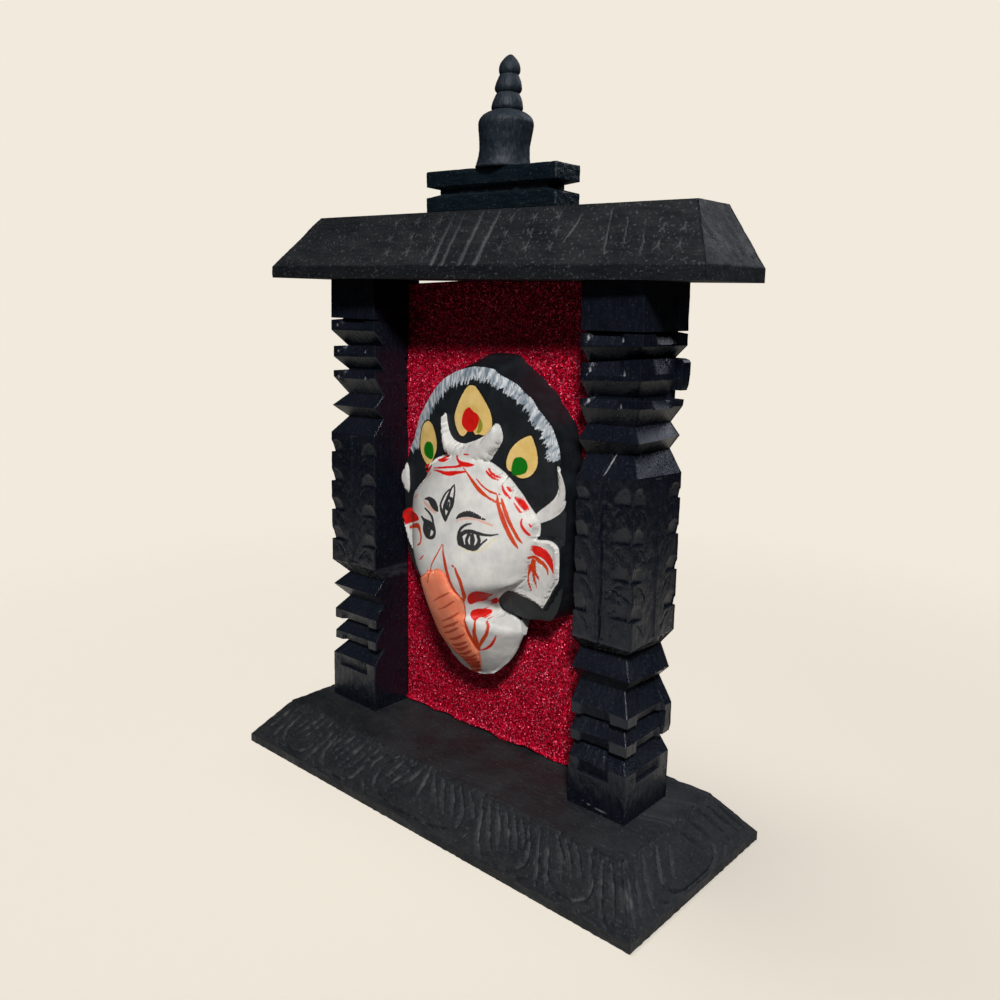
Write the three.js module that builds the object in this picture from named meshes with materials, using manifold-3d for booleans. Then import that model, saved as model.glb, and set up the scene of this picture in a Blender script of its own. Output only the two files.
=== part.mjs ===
// A framed elephant-deity mask: a small carved wooden gate with a painted mask on red cloth in its opening.
// Millimetres, +Z up. X runs along the gate, -Y is its front. The origin is at the middle of the base's underside.
import * as THREE from "three";
import { mergeVertices } from "three/addons/utils/BufferGeometryUtils.js";
import Module from "manifold-3d";

const wasm = await Module();
wasm.setup();

// Base: a slab with a low upright edge and four slopes up to a smaller top.
const BASE = { width: 240, depth: 97.5, height: 22.5, edge: 4, topWidth: 209, topDepth: 67 };

// Pillars: square posts, notched on the front and the outer face only. The left one is from wider stock.
const PILLAR = { innerX: 62.25, centreY: 2.3, leftWidth: 31.5, rightWidth: 29.5, depth: 31.5, height: 216 };
const PILLAR_BOTTOM = BASE.height;
const PILLAR_TOP = PILLAR_BOTTOM + PILLAR.height;

// Roof: a beam with a low upright edge and four slopes, the left one longer, fixed a little out of square.
const ROOF = { width: 236, depth: 48, height: 28.5, edge: 5.5, topWidth: 215, topDepth: 24.5 };
const ROOF_LEFT_HIP_EXTRA = 12.5;
const ROOF_TWIST = THREE.MathUtils.degToRad(3);

// Block on the roof: a plank with a groove all round that makes two tiers.
const BLOCK = { width: 70, depth: 17, height: 17, x: 10, y: -3.75, grooveDepth: 5.5 };

// Finial: a small turned stupa that leans to the right.
const FINIAL = { x: 11.5, y: -3.75, height: 44.5, lean: 3, sides: 24 };

// Board and cloth between the pillars.
const CLOTH_FRONT = 9;
const CLOTH_THICKNESS = 1;
const BOARD_THICKNESS = 5;
// Their top meets the roof, but slants down to the left, which leaves a slit of light there.
const TOP_SLANT = { width: 42, drop: 1.8 };

// Colours as the finished pieces show them.
const BLACK_WOOD = 0x1b1d1f;
const DUSTY_WOOD = 0x2a2c29;
const CRIMSON_CLOTH = 0xa3123a;
const PLAIN_BOARD = 0x3a2c22;
const WHITE_PAINT = 0xe4e2dd;

// A geometry as a solid for cutting and joining.
function toSolid(geometry) {
  const bare = geometry.clone();
  bare.deleteAttribute("normal");
  bare.deleteAttribute("uv");
  const merged = mergeVertices(bare, 1e-4);
  const mesh = new wasm.Mesh({
    numProp: 3,
    vertProperties: new Float32Array(merged.attributes.position.array),
    triVerts: new Uint32Array(merged.index.array),
  });
  return new wasm.Manifold(mesh);
}

// A solid as a geometry for drawing.
function toGeometry(solid) {
  const mesh = solid.getMesh();
  const geometry = new THREE.BufferGeometry();
  geometry.setAttribute("position", new THREE.BufferAttribute(new Float32Array(mesh.vertProperties), 3));
  geometry.setIndex(new THREE.BufferAttribute(new Uint32Array(mesh.triVerts), 1));
  geometry.computeVertexNormals();
  return geometry;
}

function woodMesh(name, geometry, color, roughness) {
  const mesh = new THREE.Mesh(geometry, new THREE.MeshStandardMaterial({ color, roughness, metalness: 0 }));
  mesh.name = name;
  return mesh;
}

// A post of rectangles stacked in height. Each level is { z, x0, x1, y0, y1 }.
function stackOfRectangles(levels) {
  const geometry = new THREE.BoxGeometry(1, 1, 1, 1, 1, levels.length - 1);
  const position = geometry.attributes.position;
  for (let i = 0; i < position.count; i += 1) {
    const step = Math.round((position.getZ(i) + 0.5) * (levels.length - 1));
    const level = levels[step];
    const x = position.getX(i) > 0 ? level.x1 : level.x0;
    const y = position.getY(i) > 0 ? level.y1 : level.y0;
    position.setXYZ(i, x, y, level.z);
  }
  return geometry;
}

function centredLevel(z, width, depth) {
  return { z, x0: -width / 2, x1: width / 2, y0: -depth / 2, y1: depth / 2 };
}

// The base's and the roof's form: an upright edge and four slopes.
function hippedSlab(size) {
  return [
    centredLevel(0, size.width, size.depth),
    centredLevel(size.edge, size.width, size.depth),
    centredLevel(size.height, size.topWidth, size.topDepth),
  ];
}

// Gouges on the base: crescents cut square into a slope, their ends running out to nothing.
const GOUGE_DEPTH = 1.2;
const GOUGE_LIFT = 3;
const GOUGE_STEPS = 10;

// A crescent open at the top, between two half ellipses that share their ends.
function crescentShape(centre, halfWidth, top, bottom, thickness) {
  const shape = new THREE.Shape();
  const outer = top - bottom;
  const inner = outer - thickness;
  for (let i = 0; i <= GOUGE_STEPS; i += 1) {
    const angle = Math.PI * (1 + i / GOUGE_STEPS);
    shape.lineTo(centre + halfWidth * Math.cos(angle), top + outer * Math.sin(angle));
  }
  for (let i = GOUGE_STEPS - 1; i > 0; i -= 1) {
    const angle = Math.PI * (1 + i / GOUGE_STEPS);
    const x = centre + (halfWidth - thickness) * Math.cos(angle);
    shape.lineTo(x, top + inner * Math.sin(angle));
  }
  return startAtFirstPoint(shape);
}

// A spindle between two points, as one stroke of a gouge leaves it.
function spindleShape(fromX, fromW, toX, toW, width) {
  const shape = new THREE.Shape();
  const length = Math.hypot(toX - fromX, toW - fromW);
  const side = { x: (-(toW - fromW) / length) * width, w: ((toX - fromX) / length) * width };
  shape.moveTo(fromX, fromW);
  shape.quadraticCurveTo((fromX + toX) / 2 + side.x, (fromW + toW) / 2 + side.w, toX, toW);
  shape.quadraticCurveTo((fromX + toX) / 2 - side.x, (fromW + toW) / 2 - side.w, fromX, fromW);
  return shape;
}

// Drops the segment that lineTo draws from the shape's unset start.
function startAtFirstPoint(shape) {
  const points = shape.curves.map((curve) => curve.v2);
  return new THREE.Shape(points);
}

const SLOPE_RUN = (BASE.depth - BASE.topDepth) / 2;
const SLOPE_RISE = BASE.height - BASE.edge;
const SLOPE_LENGTH = Math.hypot(SLOPE_RUN, SLOPE_RISE);

// Cutters for a slope, drawn in x along the edge and w up the slope, then laid on the slope that faces -Y.
function slopeCutter(shape) {
  const geometry = new THREE.ExtrudeGeometry(shape, {
    depth: GOUGE_DEPTH + GOUGE_LIFT,
    bevelEnabled: false,
    curveSegments: 5,
  });
  geometry.translate(0, 0, -GOUGE_DEPTH);
  geometry.rotateX(Math.atan2(SLOPE_RISE, SLOPE_RUN));
  geometry.translate(0, -BASE.depth / 2, BASE.edge);
  return geometry;
}

const LEAF_CENTRES = [47, 80];
const LEAF_WIDTHS = [15.5, 11, 6.5];
const LEAF_BOTTOMS = [2, 5.5, 9];
const LOTUS_WIDTHS = [26, 21];
const LOTUS_BOTTOMS = [1.5, 4.5];
const LOTUS_PETALS = [-10, 0, 10];
const CORNER_CUTS = [98, 105];
const END_LEAF_WIDTHS = [24, 18, 12];

function frontGouges() {
  const shapes = [];
  for (const side of [-1, 1]) {
    for (const centre of LEAF_CENTRES) {
      LEAF_WIDTHS.forEach((width, i) => {
        shapes.push(crescentShape(side * centre, width, SLOPE_LENGTH - 1, LEAF_BOTTOMS[i], 2.2));
      });
    }
    CORNER_CUTS.forEach((x) => {
      shapes.push(spindleShape(side * (x - 4), SLOPE_LENGTH - 3, side * (x + 3), 4, 1.8));
    });
  }
  LOTUS_WIDTHS.forEach((width, i) => {
    shapes.push(crescentShape(0, width, SLOPE_LENGTH - 1, LOTUS_BOTTOMS[i], 2.2));
  });
  for (const x of LOTUS_PETALS) {
    shapes.push(spindleShape(x * 0.6, SLOPE_LENGTH - 2, x * 1.1, 9, 3.2));
  }
  return shapes.map(slopeCutter);
}

// The slopes at the two ends carry one nested leaf each.
function endGouges(side) {
  const shift = (BASE.width - BASE.depth) / 2;
  return END_LEAF_WIDTHS.map((width, i) => {
    const cutter = slopeCutter(crescentShape(0, width, SLOPE_LENGTH - 1, LEAF_BOTTOMS[i], 2.4));
    cutter.rotateZ((side * Math.PI) / 2);
    cutter.translate(side * shift, 0, 0);
    return cutter;
  });
}

function makeBase() {
  let solid = toSolid(stackOfRectangles(hippedSlab(BASE)));
  for (const cutter of [...frontGouges(), ...endGouges(1), ...endGouges(-1)]) {
    solid = solid.subtract(toSolid(cutter));
  }
  return woodMesh("base", toGeometry(solid), DUSTY_WOOD, 0.75);
}

// Notches of a pillar, from its foot up: height above the foot and how far the wood is cut in.
const NOTCH = 6;
const NOSE = 0.8;
const SAW_CUT = 4;
const PILLAR_PROFILE = [
  [0, 0],
  [18.5, 0],
  [28, NOTCH],
  [29.3, NOTCH],
  [29.3, NOSE],
  [33.5, NOSE],
  [40.6, NOTCH],
  [40.6, NOSE],
  [45, NOSE],
  [53.3, NOTCH],
  [59.8, NOSE],
  [66.5, NOTCH],
  [74.5, 0],
  [140.5, 0],
  [149.3, NOTCH],
  [155, NOSE],
  [160.5, NOTCH],
  [168, NOSE],
  [170.7, NOSE],
  [170.7, NOTCH],
  [178, NOSE],
  [185.3, NOSE],
  [185.3, NOTCH],
  [191.3, 0],
  [196.2, 0],
  [196.2, SAW_CUT],
  [197.2, SAW_CUT],
  [197.2, 0],
  [PILLAR.height, 0],
];

// Petals on a pillar's shaft: scooped cuts with an arched top and a level ledge below.
const PETAL = { count: 4, first: 85, pitch: 15.1, height: 6.2, depth: 1.5, radius: 6, fromArris: 5 };

// One scoop as a leaning cylinder. Its bottom lies on the ledge, outside is -Y and the face is y = 0.
function scoop() {
  const geometry = new THREE.CylinderGeometry(PETAL.radius, PETAL.radius, PETAL.height, 14);
  geometry.rotateX(Math.PI / 2);
  geometry.translate(0, 0, PETAL.height / 2);
  const position = geometry.attributes.position;
  for (let i = 0; i < position.count; i += 1) {
    const inward = PETAL.depth * (1 - (1.1 * position.getZ(i)) / PETAL.height);
    position.setY(i, position.getY(i) - PETAL.radius + inward);
  }
  return geometry;
}

function petalCutters(side, width) {
  const innerX = side * PILLAR.innerX;
  const outerX = innerX + side * width;
  const frontY = PILLAR.centreY - PILLAR.depth / 2;
  const backY = PILLAR.centreY + PILLAR.depth / 2;
  const cutters = [];
  for (let i = 0; i < PETAL.count; i += 1) {
    const z = PILLAR_BOTTOM + PETAL.first + i * PETAL.pitch;
    for (const x of [outerX - side * PETAL.fromArris, innerX + side * PETAL.fromArris]) {
      cutters.push(scoop().translate(x, frontY, z));
    }
    for (const y of [frontY + PETAL.fromArris, backY - PETAL.fromArris]) {
      cutters.push(scoop().rotateZ((side * Math.PI) / 2).translate(outerX, y, z));
    }
  }
  return cutters;
}

function makePillar(name, side, width) {
  const levels = PILLAR_PROFILE.map(([height, inset]) => {
    const inner = side * PILLAR.innerX;
    const outer = inner + side * (width - inset);
    return {
      z: PILLAR_BOTTOM + height,
      x0: Math.min(inner, outer),
      x1: Math.max(inner, outer),
      y0: PILLAR.centreY - PILLAR.depth / 2 + inset,
      y1: PILLAR.centreY + PILLAR.depth / 2,
    };
  });
  let solid = toSolid(stackOfRectangles(levels));
  for (const cutter of petalCutters(side, width)) {
    solid = solid.subtract(toSolid(cutter));
  }
  return woodMesh(name, toGeometry(solid), BLACK_WOOD, 0.45);
}

// The roof, the block and the finial share the roof's twist.
function setOnRoof(geometry, z) {
  return geometry.rotateZ(ROOF_TWIST).translate(0, 0, z);
}

function makeRoof() {
  const levels = hippedSlab(ROOF);
  levels[2].x0 += ROOF_LEFT_HIP_EXTRA;
  return woodMesh("roof", setOnRoof(stackOfRectangles(levels), PILLAR_TOP), DUSTY_WOOD, 0.7);
}

const BLOCK_BOTTOM = PILLAR_TOP + ROOF.height;

function makeBlock() {
  const grooved = (z, inset) => centredLevel(z, BLOCK.width - 2 * inset, BLOCK.depth - 2 * Math.min(inset, 3));
  const levels = [
    grooved(0, 0),
    grooved(6, 0),
    grooved(7.4, BLOCK.grooveDepth),
    grooved(9.4, BLOCK.grooveDepth),
    grooved(10.6, 0),
    grooved(BLOCK.height, 0),
  ];
  const geometry = stackOfRectangles(levels).translate(BLOCK.x, BLOCK.y, 0);
  return woodMesh("roof_block", setOnRoof(geometry, BLOCK_BOTTOM), BLACK_WOOD, 0.5);
}

const FINIAL_BOTTOM = BLOCK_BOTTOM + BLOCK.height;

// The stupa's outline from its foot up: height and radius. A bell, a shoulder, three caps and a tip.
const FINIAL_PROFILE = [
  [0, 0],
  [0, 11.9],
  [1.2, 11.5],
  [4, 10.9],
  [8, 10.6],
  [12, 11],
  [16, 11.5],
  [18.2, 11.5],
  [20.2, 10.4],
  [21.8, 8.2],
  [22.6, 6.3],
  [24.2, 6.6],
  [26.5, 6.1],
  [28.6, 5.2],
  [29.5, 4.8],
  [30.2, 5.4],
  [31.6, 5.7],
  [33.8, 5.2],
  [35.8, 4.3],
  [36.7, 4],
  [37.5, 4.4],
  [38.9, 4.5],
  [40.8, 4],
  [42.8, 2.6],
  [44.2, 1],
  [FINIAL.height, 0],
];

function makeFinial() {
  const points = FINIAL_PROFILE.map(([height, radius]) => new THREE.Vector2(radius, height));
  const geometry = new THREE.LatheGeometry(points, FINIAL.sides);
  geometry.rotateX(Math.PI / 2);
  const position = geometry.attributes.position;
  for (let i = 0; i < position.count; i += 1) {
    position.setX(i, position.getX(i) + (FINIAL.lean * position.getZ(i)) / FINIAL.height);
  }
  geometry.translate(FINIAL.x, FINIAL.y, 0);
  return woodMesh("stupa_finial", setOnRoof(geometry, FINIAL_BOTTOM), BLACK_WOOD, 0.6);
}

function panel(name, front, thickness, color) {
  const top = PILLAR.height;
  const shape = new THREE.Shape();
  shape.moveTo(-PILLAR.innerX, 0);
  shape.lineTo(PILLAR.innerX, 0);
  shape.lineTo(PILLAR.innerX, top);
  shape.lineTo(TOP_SLANT.width - PILLAR.innerX, top);
  shape.lineTo(-PILLAR.innerX, top - TOP_SLANT.drop);
  const geometry = new THREE.ExtrudeGeometry(shape, { depth: thickness, bevelEnabled: false });
  geometry.rotateX(Math.PI / 2);
  geometry.translate(0, front + thickness, PILLAR_BOTTOM);
  return woodMesh(name, geometry, color, 0.9);
}

// Mask: half outlines from the top down, x to the side and z up. Both sides are alike.
const HOOD_CENTRE = { x: 0, z: 128 };
const HOOD_OUTLINE = [
  [0, 202.5],
  [10, 201.5],
  [19, 198],
  [28.5, 190.5],
  [36.5, 183],
  [42.5, 175],
  [46.8, 166],
  [50, 157],
  [51.5, 147],
  [51.5, 135],
  [50.5, 122],
  [49.5, 110],
  [47, 101],
  [42, 96],
  [33, 93],
  [17, 92],
  [0, 92],
];
const FACE_CENTRE = { x: 0, z: 112 };
const FACE_OUTLINE = [
  [0, 163],
  [12, 161],
  [22, 157],
  [30, 152],
  [37, 145],
  [41, 138],
  [39, 131],
  [37.5, 122],
  [34, 112],
  [29, 104],
  [26, 98],
  [27.5, 92],
  [29.5, 86.5],
  [28.5, 79],
  [24.5, 71],
  [18, 64],
  [10, 59.5],
  [0, 57.8],
];
// How far the face stands forward of y = 0 on its middle line.
const FACE_PROFILE = [
  [57.8, 1.5],
  [61, 5],
  [66, 9],
  [73, 13.5],
  [80, 17.5],
  [88, 21.5],
  [96, 25],
  [104, 27.5],
  [112, 29.2],
  [118, 29.5],
  [124.5, 28],
  [130, 26.5],
  [136, 24.6],
  [143, 22.5],
  [151, 19],
  [157, 16],
  [163, 13.6],
];
const HOOD_RIM = 4;
const HOOD_TOP_RIM = 3;
const HOOD_BULGE = 8;
const HOOD_TOP_FLARE = 6;
const CHIN_TUCK = 0.72;
const CRESCENT_FORWARD = 14.5;
const RELIEF = 2.2;

// A value read from a table of rising places, in between by straight lines.
function between(table, place) {
  for (let i = 1; i < table.length; i += 1) {
    const [low, lowValue] = table[i - 1];
    const [high, highValue] = table[i];
    if (place <= high) {
      return THREE.MathUtils.mapLinear(Math.max(place, low), low, high, lowValue, highValue);
    }
  }
  return table[table.length - 1][1];
}

const FACE_HALF_WIDTHS = FACE_OUTLINE.map(([x, z]) => [z, x]).reverse();

function hoodRim(z) {
  return HOOD_RIM + HOOD_TOP_RIM * THREE.MathUtils.smoothstep(z, 160, 203);
}

// The hood swells from its rim towards its middle. ring is 0 at the middle and 1 at the rim.
function hoodForward(x, z, ring) {
  return hoodRim(z) + HOOD_BULGE * (1 - ring * ring);
}

// The face's edge stands a little over the hood and falls to the wall's front at the chin.
function faceEdge(z) {
  return between([[57.8, 1.5], [80, 2.5], [90, 5], [100, 8], [130, 10], [150, 11.5], [163, 13.4]], z);
}

function faceForward(x, z) {
  const halfWidth = Math.max(between(FACE_HALF_WIDTHS, z), 1);
  const fullness = between([[57.8, 3], [110, 3], [150, 2.2]], z);
  const edge = faceEdge(z);
  const share = Math.min(Math.abs(x) / halfWidth, 1);
  return edge + (between(FACE_PROFILE, z) - edge) * (1 - share ** fullness);
}

// The whole closed outline as a smooth curve, from its half.
function closedOutline(half) {
  const right = half.map(([x, z]) => new THREE.Vector3(x, 0, z));
  const left = half.slice(1, -1).map(([x, z]) => new THREE.Vector3(-x, 0, z)).reverse();
  return new THREE.CatmullRomCurve3([...right, ...left], true, "centripetal");
}

// A shell-like relief: rings of points from a centre out to the outline, then a wall back to the cloth.
function reliefSolid(half, centre, spokes, rings, forward, wallFoot) {
  const outline = closedOutline(half).getPoints(spokes).slice(0, spokes);
  const points = [];
  for (let ring = 1; ring <= rings; ring += 1) {
    for (const edge of outline) {
      const x = THREE.MathUtils.lerp(centre.x, edge.x, ring / rings);
      const z = THREE.MathUtils.lerp(centre.z, edge.z, ring / rings);
      points.push(x, -forward(x, z, ring / rings), z);
    }
  }
  for (const edge of outline) {
    const foot = wallFoot(edge);
    points.push(foot.x, CLOTH_FRONT, foot.z);
  }
  const front = points.length / 3;
  points.push(centre.x, -forward(centre.x, centre.z, 0), centre.z);
  points.push(centre.x, CLOTH_FRONT, centre.z);
  const faces = [];
  const last = rings * spokes;
  for (let spoke = 0; spoke < spokes; spoke += 1) {
    const next = (spoke + 1) % spokes;
    faces.push(front, next, spoke);
    for (let ring = 0; ring < rings; ring += 1) {
      const here = ring * spokes;
      const out = here + spokes;
      faces.push(here + spoke, here + next, out + spoke);
      faces.push(here + next, out + next, out + spoke);
    }
    faces.push(front + 1, last + spoke, last + next);
  }
  const geometry = new THREE.BufferGeometry();
  geometry.setAttribute("position", new THREE.Float32BufferAttribute(points, 3));
  geometry.setIndex(faces);
  return toSolid(geometry);
}

// A flat raised piece on the mask, drawn as seen from the front, its face at y = -forward.
function raisedPiece(points, forward) {
  const shape = new THREE.Shape();
  shape.setFromPoints(new THREE.SplineCurve(points.map(([x, z]) => new THREE.Vector2(x, z))).getPoints(28));
  const geometry = new THREE.ExtrudeGeometry(shape, {
    depth: forward,
    bevelEnabled: false,
  });
  geometry.rotateX(Math.PI / 2);
  return toSolid(geometry);
}

function mirrored(points) {
  return points.map(([x, z]) => [-x, z]).reverse();
}

// A crescent moon over the brow, an ear and a ribbon end at each side.
const CRESCENT = [
  [-14, 163.5],
  [-17, 170],
  [-17.5, 178],
  [-14.5, 179.5],
  [-12.5, 175],
  [-9, 168.5],
  [1, 166.5],
  [10, 169],
  [14, 174],
  [16.5, 178.5],
  [19.5, 176.5],
  [19, 168],
  [13, 161.5],
  [3, 160],
  [-8, 160.5],
  [-14, 163.5],
];
const EAR = [
  [34, 131],
  [40, 131],
  [47, 129],
  [48.5, 117],
  [46.5, 110.5],
  [42.5, 105.5],
  [39.5, 98.8],
  [31, 102],
  [22, 105],
  [24, 118],
  [34, 131],
];
const RIBBON = [
  [45, 163.5],
  [50, 160.5],
  [52.2, 153],
  [50.5, 146],
  [45, 140.5],
  [39.5, 137.5],
  [38.5, 141],
  [43, 146],
  [46.5, 151],
  [47, 157],
  [45, 163.5],
];

function makeMask() {
  const hoodFoot = (edge) => {
    const flare = HOOD_TOP_FLARE * THREE.MathUtils.smoothstep(edge.z, 155, 202.5);
    const reach = Math.hypot(edge.x - HOOD_CENTRE.x, edge.z - HOOD_CENTRE.z);
    return {
      x: edge.x + (flare * (edge.x - HOOD_CENTRE.x)) / reach,
      z: edge.z + (flare * (edge.z - HOOD_CENTRE.z)) / reach,
    };
  };
  const faceFoot = (edge) => ({
    x: edge.x * CHIN_TUCK,
    z: THREE.MathUtils.lerp(FACE_CENTRE.z, edge.z, 0.9),
  });
  let solid = reliefSolid(HOOD_OUTLINE, HOOD_CENTRE, 72, 7, hoodForward, hoodFoot);
  solid = solid.add(reliefSolid(FACE_OUTLINE, FACE_CENTRE, 72, 14, faceForward, faceFoot));
  solid = solid.add(raisedPiece(CRESCENT, CRESCENT_FORWARD));
  for (const points of [EAR, mirrored(EAR)]) {
    solid = solid.add(raisedPiece(points, HOOD_RIM + 2 * RELIEF));
  }
  for (const points of [RIBBON, mirrored(RIBBON)]) {
    solid = solid.add(raisedPiece(points, HOOD_RIM + RELIEF));
  }
  return woodMesh("mask", toGeometry(solid), WHITE_PAINT, 0.5);
}

const framedMask = new THREE.Group();
framedMask.add(makeBase());
framedMask.add(makePillar("pillar_left", -1, PILLAR.leftWidth));
framedMask.add(makePillar("pillar_right", 1, PILLAR.rightWidth));
framedMask.add(makeRoof());
framedMask.add(makeBlock());
framedMask.add(makeFinial());
framedMask.add(panel("back_board", CLOTH_FRONT + CLOTH_THICKNESS, BOARD_THICKNESS, PLAIN_BOARD));
framedMask.add(panel("red_cloth", CLOTH_FRONT, CLOTH_THICKNESS, CRIMSON_CLOTH));
framedMask.add(makeMask());

export default framedMask;
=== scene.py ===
# A framed elephant-deity mask: a carved black wooden gate with a painted mask on glitter cloth in its
# opening. Metres, +Z up. X runs along the gate and -Y is its front. Sizes below are in millimetres unless
# they say otherwise.
import math

import bmesh
import bpy
import numpy as np
from mathutils import Matrix, Vector, noise


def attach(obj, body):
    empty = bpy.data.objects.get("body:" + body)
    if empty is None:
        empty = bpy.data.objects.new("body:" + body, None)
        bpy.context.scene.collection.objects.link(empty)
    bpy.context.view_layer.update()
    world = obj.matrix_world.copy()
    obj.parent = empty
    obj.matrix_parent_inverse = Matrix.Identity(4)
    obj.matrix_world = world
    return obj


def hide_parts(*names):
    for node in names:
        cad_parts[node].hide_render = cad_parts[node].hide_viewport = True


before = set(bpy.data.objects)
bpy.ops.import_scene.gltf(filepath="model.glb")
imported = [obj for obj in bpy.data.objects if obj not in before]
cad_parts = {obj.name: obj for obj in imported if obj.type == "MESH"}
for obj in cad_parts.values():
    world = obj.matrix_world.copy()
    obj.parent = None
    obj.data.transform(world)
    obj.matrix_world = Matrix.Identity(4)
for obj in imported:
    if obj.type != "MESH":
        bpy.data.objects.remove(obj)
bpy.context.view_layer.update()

# The camera stands to the front right of the gate, a little above its middle and level to within a degree.
CAMERA_AT = Vector((0.282149, -0.298821, 0.231615))
CAMERA_YAW, CAMERA_DOWN, CAMERA_ROLL = (math.radians(a) for a in (40.395, 10.016, 1.147))
camera_data = bpy.data.cameras.new("camera")
camera_data.sensor_width = 36
camera_data.lens = 33.293
camera_data.shift_x = -0.0320
camera_data.shift_y = -0.0396
camera = bpy.data.objects.new("camera", camera_data)
camera.matrix_world = (
    Matrix.Translation(CAMERA_AT)
    @ Matrix.Rotation(CAMERA_YAW, 4, "Z")
    @ Matrix.Rotation(math.pi / 2 - CAMERA_DOWN, 4, "X")
    @ Matrix.Rotation(CAMERA_ROLL, 4, "Z")
)
bpy.context.scene.collection.objects.link(camera)
bpy.context.scene.camera = camera
bpy.context.scene.view_settings.view_transform = "Standard"


# The studio is a cream paper floor that runs out into a plain cream surround. A soft key light stands high to
# the front right, with little light around it, and a paler one behind the gate. The floor has a soft light of
# its own.
def linear(hex_colour):
    """An sRGB hex colour as the linear red, green, blue and alpha that a shader takes."""
    parts = [int(hex_colour[i : i + 2], 16) / 255 for i in (1, 3, 5)]
    return [c / 12.92 if c <= 0.04045 else ((c + 0.055) / 1.055) ** 2.4 for c in parts] + [1.0]


def feed(node, links):
    """Links what feeds a node. A node given as a source stands for its first output."""
    for key, source in dict(links).items():
        first = source.outputs[0] if isinstance(source, bpy.types.Node) else source
        node.id_data.links.new(first, node.inputs[key])


def add(tree, kind, values=(), links=(), **settings):
    """One node with its settings, its values and what feeds it."""
    made = tree.nodes.new("ShaderNode" + kind)
    for name, value in settings.items():
        setattr(made, name, value)
    for key, value in dict(values).items():
        made.inputs[key].default_value = value
    feed(made, links)
    return made


def new_material(name):
    """A material with its node tree and shader."""
    made = bpy.data.materials.new(name)
    made.use_nodes = True
    return made, made.node_tree, made.node_tree.nodes["Principled BSDF"]


SURROUND = linear("#f2eadd")
world = bpy.data.worlds.new("cream surround")
bpy.context.scene.world = world
world.use_nodes = True
tree = world.node_tree
tree.nodes.clear()
seen = add(tree, "Background", {"Color": SURROUND, "Strength": 1.0})
ambient = add(tree, "Background", {"Color": linear("#dfe6f2"), "Strength": 0.015})
kind_of_ray = add(tree, "LightPath")
mixed = add(
    tree,
    "MixShader",
    links={0: kind_of_ray.outputs["Is Camera Ray"], 1: ambient, 2: seen},
)
add(tree, "OutputWorld", links={"Surface": mixed})

bm = bmesh.new()
bmesh.ops.create_circle(bm, cap_ends=True, segments=96, radius=30.0)
floor_mesh = bpy.data.meshes.new("paper_floor")
bm.to_mesh(floor_mesh)
bm.free()
floor = bpy.data.objects.new("paper_floor", floor_mesh)
bpy.context.scene.collection.objects.link(floor)
paper, tree, _ = new_material("matt cream paper")
tree.nodes.clear()
place = add(tree, "TexCoord")
reach = add(tree, "VectorMath", links={0: place.outputs["Object"]}, operation="LENGTH")
fade = add(tree, "MapRange", {"From Min": 0.22, "From Max": 0.6}, {"Value": reach.outputs["Value"]})
fade.interpolation_type = "SMOOTHSTEP"
lit = add(tree, "BsdfDiffuse", {"Color": linear("#f2ead9")})
even = add(tree, "Emission", {"Color": SURROUND, "Strength": 0.66})
near = add(tree, "AddShader", links={0: lit, 1: even})
far = add(tree, "BsdfTransparent")
mixed = add(tree, "MixShader", links={0: fade, 1: near, 2: far})
add(tree, "OutputMaterial", links={"Surface": mixed})
floor_mesh.materials.append(paper)
floor.visible_diffuse = False


def soft_light(name, yaw, height, distance, size, power, colour, only=None):
    """A square soft light that looks at the middle of the gate, at degrees right of straight in front and
    above level. It lights one thing only, or else everything but the floor."""
    data = bpy.data.lights.new(name, "AREA")
    data.shape = "SQUARE"
    data.size = size
    data.energy = power
    data.color = linear(colour)[:3]
    lamp = bpy.data.objects.new(name, data)
    side = math.radians(yaw)
    up = math.radians(height)
    out = Vector((math.sin(side) * math.cos(up), -math.cos(side) * math.cos(up), math.sin(up)))
    middle = Vector((0, 0, 0.15))
    lamp.location = middle + out * distance
    lamp.rotation_euler = out.to_track_quat("Z", "Y").to_euler()
    bpy.context.scene.collection.objects.link(lamp)
    reached = bpy.data.collections.new(name + "_reach")
    reached.objects.link(only or floor)
    lamp.light_linking.receiver_collection = reached
    reached.collection_objects[0].light_linking.link_state = "INCLUDE" if only else "EXCLUDE"


soft_light("key_light", yaw=43, height=39.7, distance=1.5, size=0.18, power=22.7, colour="#fff9f4")
soft_light("fill_light", yaw=-40, height=30, distance=1.6, size=1.2, power=0.5, colour="#e6eeff")
soft_light("back_light", yaw=165, height=38, distance=1.6, size=0.8, power=7, colour="#f4f6ff")
soft_light("floor_light", yaw=-60, height=79, distance=1.5, size=0.7, power=8.1, colour="#ffffff", only=floor)

# The base is a thick board of soft wood with a low upright edge and four slopes up to a flat top. Nested
# leaves and a lotus are gouged into the front and end slopes by hand. It is stained black and has gone grey
# with dust.
BASE_SIZE = (240, 97.5)
BASE_TOP = (209, 67)
BASE_HEIGHT = 22.5
BASE_EDGE = 4
GOUGE_DEEP = 1.15
# The sides are set in a little, so that their waves stay within the board. On a slope part of a cut goes
# downwards.
BASE_SETBACK = 0.25
BASE_CUT_DOWN, BASE_CUT_IN = 0.62, 0.78


def smooth_line(points, steps=6):
    """A row of points joined by a smooth curve, however many values each point has."""
    points = np.array(points, float)
    padded = np.vstack([2 * points[0] - points[1], points, 2 * points[-1] - points[-2]])
    t = np.arange(steps)[:, None] / steps
    parts = []
    for a, b, c, d in zip(padded, padded[1:], padded[2:], padded[3:]):
        bend, twist = 2 * a - 5 * b + 4 * c - d, 3 * b - a - 3 * c + d
        parts.append(0.5 * (2 * b + (c - a) * t + bend * t**2 + twist * t**3))
    return np.vstack([*parts, points[-1]])


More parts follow.
